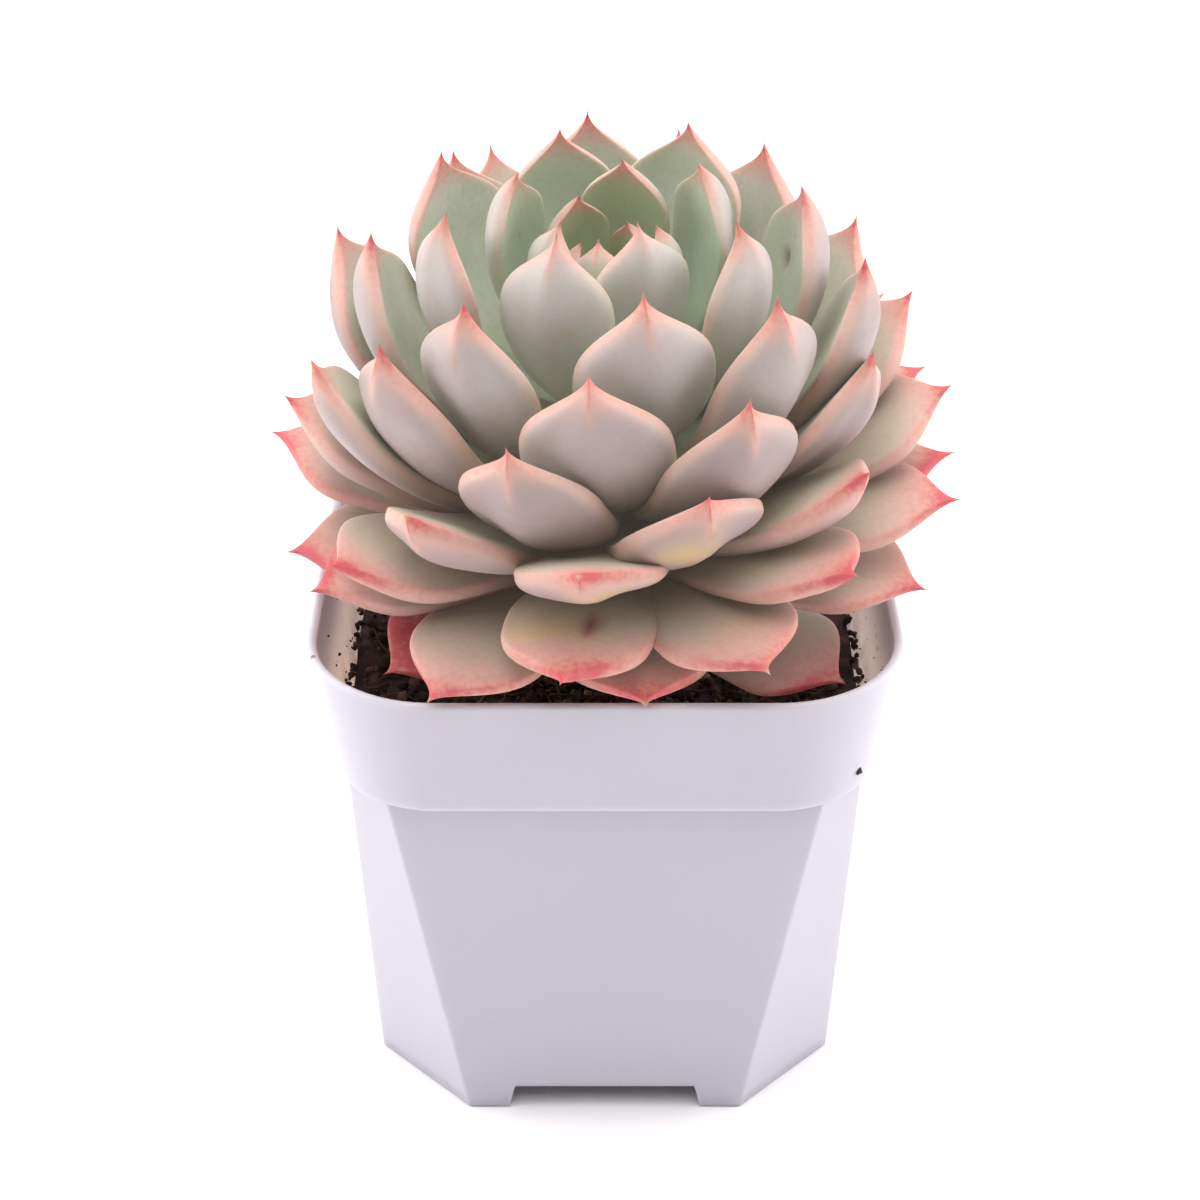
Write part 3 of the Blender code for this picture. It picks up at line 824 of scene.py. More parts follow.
@dataclass
class Rosette:
    """All the leaves of the plant.

    Widths, thicknesses and shares are of one leaf. The rows of a leaf's grid crowd towards its tip.
    """

    centre: Array
    form: RosetteForm = field(default_factory=RosetteForm)
    rows: int = 58
    columns: int = 44
    neck: float = 0.50
    widest: float = 0.62
    shoulder_power: float = 2.3
    cusp_power: float = 1.35
    spine_half: float = 0.00026
    neck_thickness: float = 0.50
    thinning_power: float = 0.55
    crown_share: float = 0.24
    belly_share: float = 0.80
    keel: float = 0.16
    keel_width: float = 0.36
    tip_crowding: float = 1.35
    ripple: float = 0.012
    swell: float = 0.00010
    broken_tips: tuple[int, ...] = (41, 46, 59, 67)
    red_leaf: int = 70
    marks: tuple[LeafMark, ...] = (
        LeafMark(19, MarkKind.HOLE, 0.74, 0.10, 2.6, 1.2, upper=True),
        LeafMark(54, MarkKind.GASH, 0.70, 0.16, 6.0, 2.2, upper=True),
        LeafMark(54, MarkKind.OCHRE, 0.86, -0.35, 11.0, 14.0, upper=True),
        LeafMark(46, MarkKind.OCHRE, 0.86, 0.30, 5.0, 6.0, strength=0.7),
        LeafMark(38, MarkKind.OCHRE, 0.80, -0.30, 7.0, 7.0, strength=0.6),
        LeafMark(38, MarkKind.SPOT, 0.88, 0.05, 1.6, 1.2),
        LeafMark(41, MarkKind.SPOT, 0.72, -0.45, 1.8, 1.3),
        LeafMark(41, MarkKind.SPOT, 0.62, -0.40, 1.8, 1.3),
        LeafMark(51, MarkKind.OCHRE, 0.66, 0.25, 5.0, 3.0, upper=True, strength=0.5),
        LeafMark(12, MarkKind.SPOT, 0.70, 0.35, 1.6, 1.4, strength=0.4),
        LeafMark(20, MarkKind.SPOT, 0.86, 0.10, 2.0, 1.0, strength=0.6),
        LeafMark(62, MarkKind.SPOT, 0.80, 0.10, 0.9, 0.7, upper=True, strength=0.7),
        LeafMark(59, MarkKind.OCHRE, 0.84, 0.10, 7.0, 9.0, upper=True, strength=0.5),
        LeafMark(36, MarkKind.SPOT, 0.86, 0.10, 2.2, 1.2, strength=0.8),
        LeafMark(44, MarkKind.SPOT, 0.80, -0.10, 2.0, 1.4, strength=0.8),
    )

    def outline(self, along: Array) -> Array:
        """Half-width share: an eased rise to the shoulder, then a falling cosine, raised to a cusp.

        Args:
            along: Shares of the leaf's length, 0 at the stem.

        Returns:
            Shares of the widest half-width.
        """
        rise = smooth_step(0.0, self.widest, along)
        late = np.clip((along - self.widest) / (1 - self.widest), 0, 1)
        closing = (1 + np.cos(np.pi * late ** self.shoulder_power)) / 2
        opening = self.neck + (1 - self.neck) * rise
        return np.where(along < self.widest, opening, closing ** self.cusp_power)

    def depth(self, along: Array) -> Array:
        """Thickness share: a quarter sine up to the shoulder, then the outline to a power.

        Args:
            along: Shares of the leaf's length, 0 at the stem.

        Returns:
            Shares of the greatest thickness.
        """
        quarter = np.sin(np.pi / 2 * np.clip(along / self.widest, 0, 1))
        rise = self.neck_thickness + (1 - self.neck_thickness) * quarter
        return np.where(along < self.widest, rise, self.outline(along) ** self.thinning_power)

    def leaf_surface(self, leaf: int) -> Surface:
        """A fleshy spoon: a flat oval section carried along a bowed midline.

        Across, the section is half times cosine; it rises by the cup times cosine squared, by the
        crown times the root of sine above, and sinks by the flesh times sine to the 0.7 below, with
        a ridge exp(-(cosine/keel width) squared) along the keel, growing to the point. One side of
        the belly is flattened where the next leaf presses on it, a thin spine keeps the point from
        closing early, and slow waves swell and twist the leaf a little.

        Args:
            leaf: The leaf's number on the spiral.

        Returns:
            The closed surface with its colour fields.
        """
        form, rng = self.form, np.random.default_rng(700 + leaf)
        turn, tip = form.stance(leaf)
        base = form.base(leaf)
        chord = tip - base
        length = float(np.hypot(*chord))
        below = np.array([chord[1], -chord[0]])
        bulge = 4 * form.along_spiral(form.bulge, leaf)
        width = form.along_spiral(form.leaf_width, leaf) * rng.uniform(0.98, 1.05)
        thick = form.along_spiral(form.leaf_thickness, leaf)
        cup = form.along_spiral(form.cup, leaf)
        stage = np.linspace(0.0, 1.0, self.rows)
        along = (1 - (1 - stage) ** self.tip_crowding)[:, None]
        around = (np.arange(self.columns) / self.columns * 2 * np.pi)[None, :]
        across, lift = np.cos(around), np.sin(around)

        middle = base + chord * along + below * (bulge * along * (1 - along))
        heading = chord + below * (bulge * (1 - 2 * along))
        heading /= np.linalg.norm(heading, axis=1)[:, None]
        upward = np.stack([-heading[:, 1], heading[:, 0]], axis=-1)
        spine = self.spine_half * np.sqrt(1 - along) * smooth_step(0.5, 0.8, along) * 2
        half = width / 2 * self.outline(along) + spine
        skew = 1 + rng.uniform(-0.06, 0.06) * across * np.sin(np.pi * along)
        waves = np.sin(along * rng.uniform(14, 22) + rng.uniform(0, 6))
        ripple = 1 + self.ripple * waves * np.abs(across)
        side = half * across * skew * ripple
        flesh = thick * self.depth(along)
        crown = self.crown_share * flesh * np.clip(lift, 0, 1) ** 0.5
        pressed = rng.choice((-1.0, 1.0)) * across
        press_line = rng.uniform(-0.05, 0.25)
        press = rng.uniform(0.15, 0.40) * smooth_step(press_line, press_line + 0.5, pressed)
        flat_side = 1 - press * np.sin(np.pi * along)
        belly = self.belly_share * flesh * np.clip(-lift, 0, 1) ** 0.7 * flat_side
        ridge = self.keel * flesh * along ** 2 * np.exp(-(across / self.keel_width) ** 2) * (lift < 0)
        rise = cup * half * across ** 2 + crown - belly - ridge
        twist = math.radians(rng.uniform(-5, 5)) * along
        side, rise = (side * np.cos(twist) - rise * np.sin(twist),
                      rise * np.cos(twist) + side * np.sin(twist))
        sway = rng.uniform(-0.5, 0.5) * MM * np.sin(np.pi * along * 0.9)
        swell = self.swell * np.sin(along * 9 + across * 3 + rng.uniform(0, 6)) * np.sin(np.pi * along)
        rise = rise + swell * np.sign(lift) * np.abs(lift)
        flat = middle[:, None, :] + upward[:, None, :] * rise[..., None]
        local = np.stack([side + sway, -flat[..., 0], flat[..., 1]], axis=-1)

        tip_away = (1 - along) * length + 0 * across
        margin = half * (1 - np.abs(across))
        fields = self._colours(leaf, along, across, lift, tip_away, margin)
        self._apply_marks(leaf, local, along, across, lift, length, half, upward, fields)

        points = local.reshape(-1, 3)
        poles = np.stack([local[0].mean(axis=0), local[-1].mean(axis=0)])
        points = np.concatenate([points, poles])
        c, s = math.cos(turn), math.sin(turn)
        spun = points @ np.array([[c, -s, 0], [s, c, 0], [0, 0, 1]]).T
        quads, triangles = closed_grid_faces(self.rows, self.columns)
        ends = {name: np.concatenate([grid.ravel(), [grid[0].mean(), grid[-1].mean()]])
                for name, grid in fields.items()}
        return Surface(form.lean(spun) + self.centre, quads, triangles, ends).face_outwards()

    def _colours(self, leaf: int, along: Array, across: Array, lift: Array,
                 tip_away: Array, margin: Array) -> dict[str, Array]:
        """Fields that the skin reads: underside, powder, blush, age, ochre, callus and thorn.

        Blush is strongest in a thin line at the margin and in the last few millimetres, where it
        falls off as an exponential. On older leaves it washes back over the outer third and the keel.

        Args:
            leaf: The leaf's number on the spiral.
            along: Shares of the leaf's length.
            across: Cosine round the section, -1 and 1 at the margins.
            lift: Sine round the section, positive above.
            tip_away: Distance to the tip, in metres.
            margin: Distance to the nearer margin, in metres.

        Returns:
            The fields on the leaf's grid, by name.
        """
        rng = np.random.default_rng(1700 + leaf)
        age = leaf / (self.form.leaf_count - 1)
        open_air = float(smooth_step(6, 20, np.array(float(leaf))))
        old = float(smooth_step(0.45, 0.85, np.array(age)))
        lean_to = rng.uniform(-1, 1)
        edge = np.exp(-margin / (0.30 * MM)) * smooth_step(0.25, 0.6, along)
        point = np.exp(-(tip_away / ((1.5 + 1.6 * age) * MM)) ** 1.3)
        sided = 1 + 0.6 * lean_to * across
        wash = smooth_step(0.62, 1.0, along) * (0.05 + 0.50 * old) * rng.uniform(0.5, 1.3) * sided
        streak = np.exp(-(across / 0.13) ** 2) * (lift < 0)
        streak = streak * np.exp(-(tip_away / ((3.0 + 2.5 * age) * MM)) ** 2)
        near_edge = np.exp(-margin / (1.3 * MM)) * (0.06 + 0.07 * old)
        near_edge = near_edge * smooth_step(0.35, 0.85, along) * sided
        near_edge = near_edge * (1 + 0.5 * lift)
        blush = (0.09 + 0.13 * open_air) * edge + (0.60 + 0.45 * open_air) * point + wash
        blush = blush + streak * (0.20 + 0.45 * open_air) * rng.uniform(0.5, 1.2) + near_edge
        if leaf == self.red_leaf:
            blush = blush + 0.9
        powder = (0.35 + 0.55 * open_air) * (1 - 0.35 * old * (lift > 0)) + 0 * across + 0 * along
        zeros = np.zeros(blush.shape)
        broken = leaf in self.broken_tips
        thorn = zeros.copy() if broken else smooth_step(0.85 * MM, 0.2 * MM, tip_away)
        callus = smooth_step(1.6 * MM, 0.6 * MM, tip_away) if broken else zeros.copy()
        return {
            "under": np.clip(0.5 - lift * 1.4, 0, 1) + zeros,
            "powder": np.clip(powder, 0, 1) + zeros,
            "blush": np.clip(blush, 0, 1.2),
            "age": np.full(zeros.shape, age),
            "ochre": zeros.copy(),
            "callus": callus,
            "thorn": thorn,
        }

    def _apply_marks(self, leaf: int, local: Array, along: Array, across: Array, lift: Array,
                     length: float, half: Array, upward: Array, fields: dict[str, Array]) -> None:
        """Dent and colour the leaf in place where it was bruised, scratched or sunburnt.

        A mark is exp(-(distance squared) to the 1.5), with the distance in half lengths and widths.

        Args:
            leaf: The leaf's number on the spiral.
            local: The grid's points before the leaf is turned, which the marks dent.
            along: Shares of the leaf's length.
            across: Cosine round the section.
            lift: Sine round the section.
            length: The leaf's length.
            half: Its half-width at each row.
            upward: Its upward direction at each row, as reach and height.
            fields: The leaf's fields, which the marks colour.
        """
        for mark in self.marks:
            if mark.leaf != leaf:
                continue
            facing = (lift > 0) if mark.upper else (lift < 0)
            lengthwise = (along - mark.along) * length / (mark.length * MM / 2)
            sideways = (across - mark.across) * half / (mark.width * MM / 2)
            spot = np.exp(-(lengthwise ** 2 + sideways ** 2) ** 1.5) * facing * mark.strength
            if mark.kind is MarkKind.OCHRE:
                fields["ochre"] = np.maximum(fields["ochre"], spot)
                continue
            depth = mark.kind.value * MM
            sign = -1.0 if mark.upper else 1.0
            shift = upward[:, None, :] * (sign * depth * spot)[..., None]
            local[..., 1] -= shift[..., 0]
            local[..., 2] += shift[..., 1]
            dark = "thorn" if mark.kind in (MarkKind.HOLE, MarkKind.GASH) else "callus"
            fields[dark] = np.maximum(fields[dark], 0.85 * spot)

    def build(self, effects: SharedEffects) -> None:
        """Make every leaf: the heart as one piece, and each other leaf as its own.

        Args:
            effects: The shared node groups.
        """
        skins = {zone: LeafSkin(zone, **settings).build(effects) for zone, settings in (
            (LeafZone.HEART, {"bloom_upper": (0.50, 0.57, 0.38), "bloom_under": (0.55, 0.57, 0.42)}),
            (LeafZone.ROSETTE, {}),
            (LeafZone.OLDEST, {"bloom_under_old": (0.42, 0.32, 0.31)}),
        )}
        form = self.form
        heart = Surface.joined([self.leaf_surface(leaf) for leaf in range(form.heart_leaves)])
        heart_piece = heart.to_object("heart_leaves", skins[LeafZone.HEART])
        hand_over(heart_piece, ["heart_bud"])
        first_low = form.leaf_count - form.lowest_leaves
        for leaf in range(form.heart_leaves, form.leaf_count):
            zone = form.zone(leaf)
            number = leaf - form.heart_leaves + 1
            name, node = f"rosette_leaf_{number:02d}", f"leaf_{number:02d}"
            if zone is LeafZone.OLDEST:
                name, node = f"lowest_leaf_{leaf - first_low + 1}", "stem_and_lowest_leaves"
            hand_over(self.leaf_surface(leaf).to_object(name, skins[zone]), [node])


@dataclass
class Stem:
    """The short stem that carries the leaves."""

    centre: Array
    form: RosetteForm = field(default_factory=RosetteForm)
    rows: int = 90
    columns: int = 36
    tip_radius: float = 0.0026
    scar_relief: float = 0.05
    tip_dome: float = 0.001
    bend_half: float = 0.002

    def build(self, effects: SharedEffects) -> None:
        """Make the stem: a tapering tube, lumpy with leaf scars, that leans once it leaves the mix.

        Args:
            effects: The shared node groups.
        """
        form = self.form
        share = np.linspace(0, 1, self.rows)[:, None]
        angle = (np.arange(self.columns) / self.columns * 2 * np.pi)[None, :]
        z = form.stem_bottom_z + share * (form.base_top_z - form.stem_bottom_z)
        radius = form.stem_bottom_radius + share * (self.tip_radius - form.stem_bottom_radius)
        radius = radius * (1 + self.scar_relief * np.sin(z * 2400 + 3 * angle) * np.cos(5 * angle))
        tube = np.stack([radius * np.cos(angle), radius * np.sin(angle), z + 0 * angle], axis=-1)
        ends = np.array([[0, 0, form.stem_bottom_z], [0, 0, form.base_top_z + self.tip_dome]])
        upright = np.concatenate([tube.reshape(-1, 3), ends])
        leaning = form.lean(upright)
        straight = upright + np.array([form.stem_x, 0, 0])
        bent = smooth_step(form.pivot_z - self.bend_half, form.pivot_z + self.bend_half, upright[:, 2])
        bent = bent[:, None]
        quads, triangles = closed_grid_faces(self.rows, self.columns)
        surface = Surface(straight * (1 - bent) + leaning * bent + self.centre, quads, triangles)
        piece = surface.face_outwards().to_object("stem", StemBark().build(effects))
        hand_over(piece, ["stem_and_lowest_leaves"])


# --------------------------------------------------------------------------- pot

class RingKind(Enum):
    """Which of the pot's outlines a stretch of its wall follows."""

    BODY = "square with straight cuts at its corners"
    FOOT = "the body's outline, raised in the notch between two feet"
    COLLAR = "square with round corners"


@dataclass(frozen=True)
class PotForm:
    """The pot's driving sizes, in metres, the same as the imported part's."""

    height: float = 0.065
    rim_half: float = 0.035
    rim_corner: float = 0.0155
    collar_z: float = 0.0485
    collar_half: float = 0.0322
    collar_corner: float = 0.0125
    body_half: float = 0.0303
    body_chamfer: float = 0.0048
    foot_half: float = 0.0289
    foot_chamfer: float = 0.0118
    wall: float = 0.0012
    floor_under_z: float = 0.0039
    floor_thick: float = 0.0013
    notch_half: float = 0.0117
    notch_height: float = 0.0034
    foot_line_z: float = 0.0036
    edge_round: float = 0.00035
    corner_steps: int = 14

    def side_stations(self) -> Array:
        """Shares along a straight side, close together at the notch's two ends.

        Returns:
            Shares from -1 to 1.
        """
        half_run = self.foot_half - self.foot_chamfer
        notch = self.notch_half / half_run + np.linspace(-0.05, 0.05, 9)
        plain = np.linspace(0, 1, 9)[1:-1] * (self.notch_half / half_run - 0.05)
        right = np.concatenate([plain, notch, np.linspace(notch[-1], 1, 4)[1:-1], [0.985]])
        return np.concatenate([-right[::-1], [0.0], right])

    def corner_stations(self) -> Array:
        """Shares round a corner, 0 to 1, with one close to each end to keep the facet's edges crisp."""
        return np.concatenate([[0.0, 0.02], np.linspace(0.08, 0.92, self.corner_steps), [0.98, 1.0]])

    def ring(self, half: Array, corner: Array, chamfered: bool) -> Array:
        """Square rings: straight sides joined by corners that are arcs or straight cuts.

        Args:
            half: Half-widths, one for each ring.
            corner: Corner radii or cut lengths.
            chamfered: Whether the corners are straight cuts.

        Returns:
            X and Y of the points, ring by ring.
        """
        half, corner = (np.asarray(v, float)[:, None] for v in (half, corner))
        along = self.side_stations()[None, :] * (half - corner)
        side = np.stack([half + 0 * along, along], axis=-1)
        share = self.corner_stations()[None, :]
        middle = half - corner
        turn = share * np.pi / 2
        arc = np.stack([middle + corner * np.cos(turn), middle + corner * np.sin(turn)], axis=-1)
        line = np.stack([half - corner * share, middle + corner * share], axis=-1)
        quarter = np.concatenate([side, line if chamfered else arc], axis=1)
        turned = [quarter @ np.array([[math.cos(a), math.sin(a)], [-math.sin(a), math.cos(a)]])
                  for a in (0, math.pi / 2, math.pi, 3 * math.pi / 2)]
        return np.concatenate(turned, axis=1)

    def body_ring(self, z: Array, inset: Array) -> Array:
        """Rings of the tapered body.

        Args:
            z: Their heights.
            inset: How far each is moved in.

        Returns:
            X and Y of the points, ring by ring.
        """
        share = np.asarray(z) / self.collar_z
        half = self.foot_half + share * (self.body_half - self.foot_half) - inset
        chamfer = self.foot_chamfer + share * (self.body_chamfer - self.foot_chamfer)
        return self.ring(half, chamfer - inset * (2 - math.sqrt(2)), True)

    def collar_ring(self, z: Array, inset: Array) -> Array:
        """Rings of the rim collar.

        Args:
            z: Their heights.
            inset: How far each is moved in.

        Returns:
            X and Y of the points, ring by ring.
        """
        share = (np.asarray(z) - self.collar_z) / (self.height - self.collar_z)
        half = self.collar_half + share * (self.rim_half - self.collar_half) - inset
        corner = self.collar_corner + share * (self.rim_corner - self.collar_corner) - inset
        return self.ring(half, corner, False)


@dataclass
class Pot:
    """The moulded pot: one skin from under the floor, round the feet and rim, to the inner floor."""

    centre: Array
    form: PotForm = field(default_factory=PotForm)
    drain_radius: float = 0.0018
    drain_spacing: float = 0.011
    rod_sides: int = 20
    rod_low: float = 0.002
    rod_high: float = 0.0075

    def _profile(self) -> list[tuple[RingKind, Array, Array]]:
        """The wall's stretches in order, from under the floor to its upper side.

        Returns:
            For each stretch, its outline, its rings' heights and their insets.
        """
        f, edge = self.form, self.form.edge_round
        half_wall = f.wall / 2
        foot_edge = edge * 0.6
        turn = np.linspace(0, np.pi, 13)
        soft = np.linspace(0, np.pi / 2, 5)
        up = np.linspace(0.006, f.collar_z - 0.0012, 14)
        floor_z = f.floor_under_z + f.floor_thick
        inner_up = np.linspace(f.collar_z + 0.0006, f.height - half_wall, 12)
        step = f.collar_z - f.wall
        return [
            (RingKind.BODY, np.array([f.floor_under_z, f.floor_under_z - 0.0002, f.foot_line_z]),
             np.full(3, f.wall)),
            (RingKind.FOOT, np.array([foot_edge, 0.0, 0.0, foot_edge]),
             np.array([f.wall, f.wall - foot_edge, foot_edge, 0.0])),
            (RingKind.BODY, np.array([f.foot_line_z, 0.0042, 0.0050]), np.zeros(3)),
            (RingKind.BODY, up, np.zeros(len(up))),
            (RingKind.BODY, np.array([f.collar_z - 0.0004, f.collar_z]), np.zeros(2)),
            (RingKind.COLLAR, f.collar_z + edge * (1 - np.cos(soft)), edge * (1 - np.sin(soft))),
            (RingKind.COLLAR, np.linspace(f.collar_z + 0.001, f.height - half_wall, 10), np.zeros(10)),
            (RingKind.COLLAR, f.height - half_wall + half_wall * np.sin(turn),
             half_wall * (1 - np.cos(turn))),
            (RingKind.COLLAR, inner_up[::-1], np.full(len(inner_up), f.wall)),
            (RingKind.BODY, np.array([step, step - 0.001]), np.full(2, f.wall)),
            (RingKind.BODY, np.linspace(step - 0.004, floor_z + 0.0006, 8), np.full(8, f.wall)),
            (RingKind.BODY, np.array([floor_z]), np.array([f.wall + 0.0006])),
        ]

    def surface(self) -> Surface:
        """The shell: the profile's stretches stacked into one grid, raised between the feet.

        Returns:
            The closed surface, with fields for the inner wall and for what sticks to it.
        """
        f = self.form
        profile = self._profile()
        rings, heights = [], []
        for kind, z, inset in profile:
            ring = f.collar_ring(z, inset) if kind is RingKind.COLLAR else f.body_ring(z, inset)
            level = z[:, None] + 0 * ring[..., 0]
            if kind is RingKind.FOOT:
                near = np.min(np.abs(ring), axis=-1)
                raised = smooth_step(f.notch_half + 0.0005, f.notch_half - 0.0005, near)
                level = level * (1 - raised) + (f.notch_height + z[:, None]) * raised
            rings.append(ring)
            heights.append(level)
        flat, z = np.concatenate(rings), np.concatenate(heights)
        grid = np.concatenate([flat, z[..., None]], axis=-1)
        rows, columns = grid.shape[:2]
        poles = np.array([[0, 0, f.floor_under_z], [0, 0, f.floor_under_z + f.floor_thick]])
        quads, triangles = closed_grid_faces(rows, columns)
        points = np.concatenate([grid.reshape(-1, 3), poles])
        rim_end = sum(len(stretch_z) for _, stretch_z, _ in profile[:8])
        row = np.arange(rows)[:, None] + 0 * z
        inner = (row >= rim_end - 4).astype(float)
        depth = smooth_step(f.height - 0.001, f.height - 0.010, z)
        corner = smooth_step(0.020, 0.027, np.min(np.abs(flat), axis=-1))
        fields = {
            "inside": inner * (0.15 + 0.85 * depth),
            "caked": inner * smooth_step(0.0580, 0.0520, z) * (0.35 + 0.65 * corner),
            "dusty": np.maximum(0.55 * inner, 0.8 * smooth_step(f.height - 0.0012, f.height - 0.0002, z)),
        }
        ends = {name: np.concatenate([values.ravel(), [0.0, 0.0]]) for name, values in fields.items()}
        return Surface(points + self.centre, quads, triangles, ends).face_outwards()

    def _drain_cutter(self, plastic: bpy.types.Material) -> bpy.types.Object:
        """Nine short round rods, in three rows of three.

        Args:
            plastic: The finish of the walls that the rods cut.

        Returns:
            One object that holds the rods.
        """
        angle = np.arange(self.rod_sides) / self.rod_sides * 2 * np.pi
        circle = self.drain_radius * np.stack([np.cos(angle), np.sin(angle), 0 * angle], axis=-1)
        low, high = np.array([0, 0, self.rod_low]), np.array([0, 0, self.rod_high])
        rod = np.concatenate([circle + low, circle + high, [low, high]])
        quads, triangles = closed_grid_faces(2, self.rod_sides)
        parts = []
        for column in (-1, 0, 1):
            for row in (-1, 0, 1):
                place = np.array([column * self.drain_spacing, row * self.drain_spacing, 0.0])
                parts.append(Surface(rod + self.centre + place, quads, triangles).face_outwards())
        return Surface.joined(parts).to_object("drain_cutter", plastic)

    def build(self, effects: SharedEffects) -> None:
        """Make the shell, cut its drain holes and hand it over.

        Args:
            effects: The shared node groups.
        """
        plastic = PotPlastic().build(effects)
        shell = self.surface().to_object("pot_shell", plastic)
        rods = self._drain_cutter(plastic)
        holes = shell.modifiers.new("drain_holes", "BOOLEAN")
        holes.object, holes.operation, holes.solver = rods, "DIFFERENCE", "EXACT"
        with bpy.context.temp_override(object=shell, active_object=shell):
            bpy.ops.object.modifier_apply(modifier=holes.name)
        bpy.data.objects.remove(rods)
        hand_over(shell, ["pot"])


# --------------------------------------------------------------------------- potting mix

@dataclass
class PottingMix:
    """The mix: a rough bed, loose crumbs and fibres on it, and crumbs stuck to the wall."""

    centre: Array
    pot: PotForm = field(default_factory=PotForm)
    top_z: float = 0.0508
    relief: float = 0.0011
    crumbs: int = 2600
    fibres: int = 520
    wall_crumbs: int = 2600
    bottom_z: float = 0.0056
    wall_gap: float = 0.0003
    corner_bank: float = 0.0016
    bark_dark: Colour = (0.03, 0.018, 0.012)
    bark_light: Colour = (0.17, 0.10, 0.06)

    def bed_height(self, flat: Array) -> Array:
        """Height of the bed: a slow swell, lumps and grit, and a bank in the pot's corners.

        Args:
            flat: X and Y of points, one row each, from the pot's middle.

        Returns:
            The bed's height at each point.
        """
        points = np.concatenate([flat, np.zeros((len(flat), 1))], axis=1)
        swell = value_noise(points, 0.012, 11) * 0.7 * self.relief
        lumps = value_noise(points, 0.0035, 12) * 0.7 * self.relief
        grit = value_noise(points, 0.0011, 13) * 0.4 * self.relief
        bank = smooth_step(0.019, 0.029, np.min(np.abs(flat), axis=1)) * self.corner_bank
        return self.top_z + swell + lumps + grit + bank

    def bed(self) -> Surface:
        """A closed block: under, up the sides, and inwards over the rough top.

        Returns:
            The closed surface with its tone.
        """
        f = self.pot
        inset = f.wall + self.wall_gap
        sides = np.array([self.bottom_z, 0.0200, 0.0400, 0.0470])
        low = f.body_ring(sides, inset)
        high = f.collar_ring(np.array([self.top_z]), inset)
        shares = np.linspace(1.0, 0.02, 90)[:, None, None]
        top = high[0][None] * shares
        top_z = self.bed_height(top.reshape(-1, 2)).reshape(top.shape[:2])
        grid = np.concatenate([
            np.concatenate([low, sides[:, None, None] + 0 * low[..., :1]], axis=-1),
            np.concatenate([top, top_z[..., None]], axis=-1),
        ])
        rows, columns = grid.shape[:2]
        poles = np.array([[0, 0, self.bottom_z], [0, 0, float(top_z[-1].mean())]])
        quads, triangles = closed_grid_faces(rows, columns)
        points = np.concatenate([grid.reshape(-1, 3), poles])
        tone = 0.35 + 0.35 * value_noise(points, 0.0016, 21)
        return Surface(points + self.centre, quads, triangles, {"tone": tone}).face_outwards()

    @staticmethod
    def _ball() -> tuple[Array, Array]:
        """An icosahedron, from the golden ratio.

        Returns:
            Its 12 points on the unit sphere and its 20 faces.
        """
        g = (1 + math.sqrt(5)) / 2
        points = np.array([
            [-1, g, 0], [1, g, 0], [-1, -g, 0], [1, -g, 0], [0, -1, g], [0, 1, g],
            [0, -1, -g], [0, 1, -g], [g, 0, -1], [g, 0, 1], [-g, 0, -1], [-g, 0, 1],
        ], float)
        faces = np.array([
            [0, 11, 5], [0, 5, 1], [0, 1, 7], [0, 7, 10], [0, 10, 11], [1, 5, 9], [5, 11, 4],
            [11, 10, 2], [10, 7, 6], [7, 1, 8], [3, 9, 4], [3, 4, 2], [3, 2, 6], [3, 6, 8],
            [3, 8, 9], [4, 9, 5], [2, 4, 11], [6, 2, 10], [8, 6, 7], [9, 8, 1],
        ])
        return points / np.linalg.norm(points[0]), faces

    def _scatter(self, places: Array, sizes: Array, seed: int) -> Surface:
        """Rough crumbs: balls stretched and turned at random, with each point pushed in or out.

        Args:
            places: The crumbs' middles, one row each.
            sizes: Their radii.
            seed: Seed of the random shapes.

        Returns:
            All the crumbs as one surface with their tones.
        """
        rng = np.random.default_rng(seed)
        ball, faces = self._ball()
        count = len(places)
        shape = ball[None] * rng.uniform(0.65, 1.3, (count, 12, 1))
        shape = shape * rng.uniform(0.5, 1.25, (count, 1, 3))
        spin = np.linalg.qr(rng.normal(size=(count, 3, 3)))[0]
        spin *= np.linalg.det(spin)[:, None, None]
        points = np.einsum("nij,nkj->nki", spin, shape) * sizes[:, None, None] + places[:, None]
        triangles = (faces[None] + 12 * np.arange(count)[:, None, None]).reshape(-1, 3)
        tone = np.repeat(rng.uniform(0, 1, count) ** 1.6, 12)
        return Surface(points.reshape(-1, 3), np.zeros((0, 4), int), triangles, {"tone": tone})

    def loose_crumbs(self) -> Surface:
        """Crumbs that lie on the bed, mostly small ones.

        Returns:
            All of them as one surface.
        """
        rng = np.random.default_rng(31)
        flat = rng.uniform(-0.0305, 0.0305, (self.crumbs, 2))
        corner = np.linalg.norm(np.clip(np.abs(flat) - 0.0185, 0, None), axis=1)
        flat = flat[corner < 0.0115]
        sizes = 0.00028 + 0.00085 * rng.uniform(0, 1, len(flat)) ** 3
        z = self.bed_height(flat) + sizes * 0.35
        return self._scatter(np.column_stack([flat, z]) + self.centre, sizes, 32)

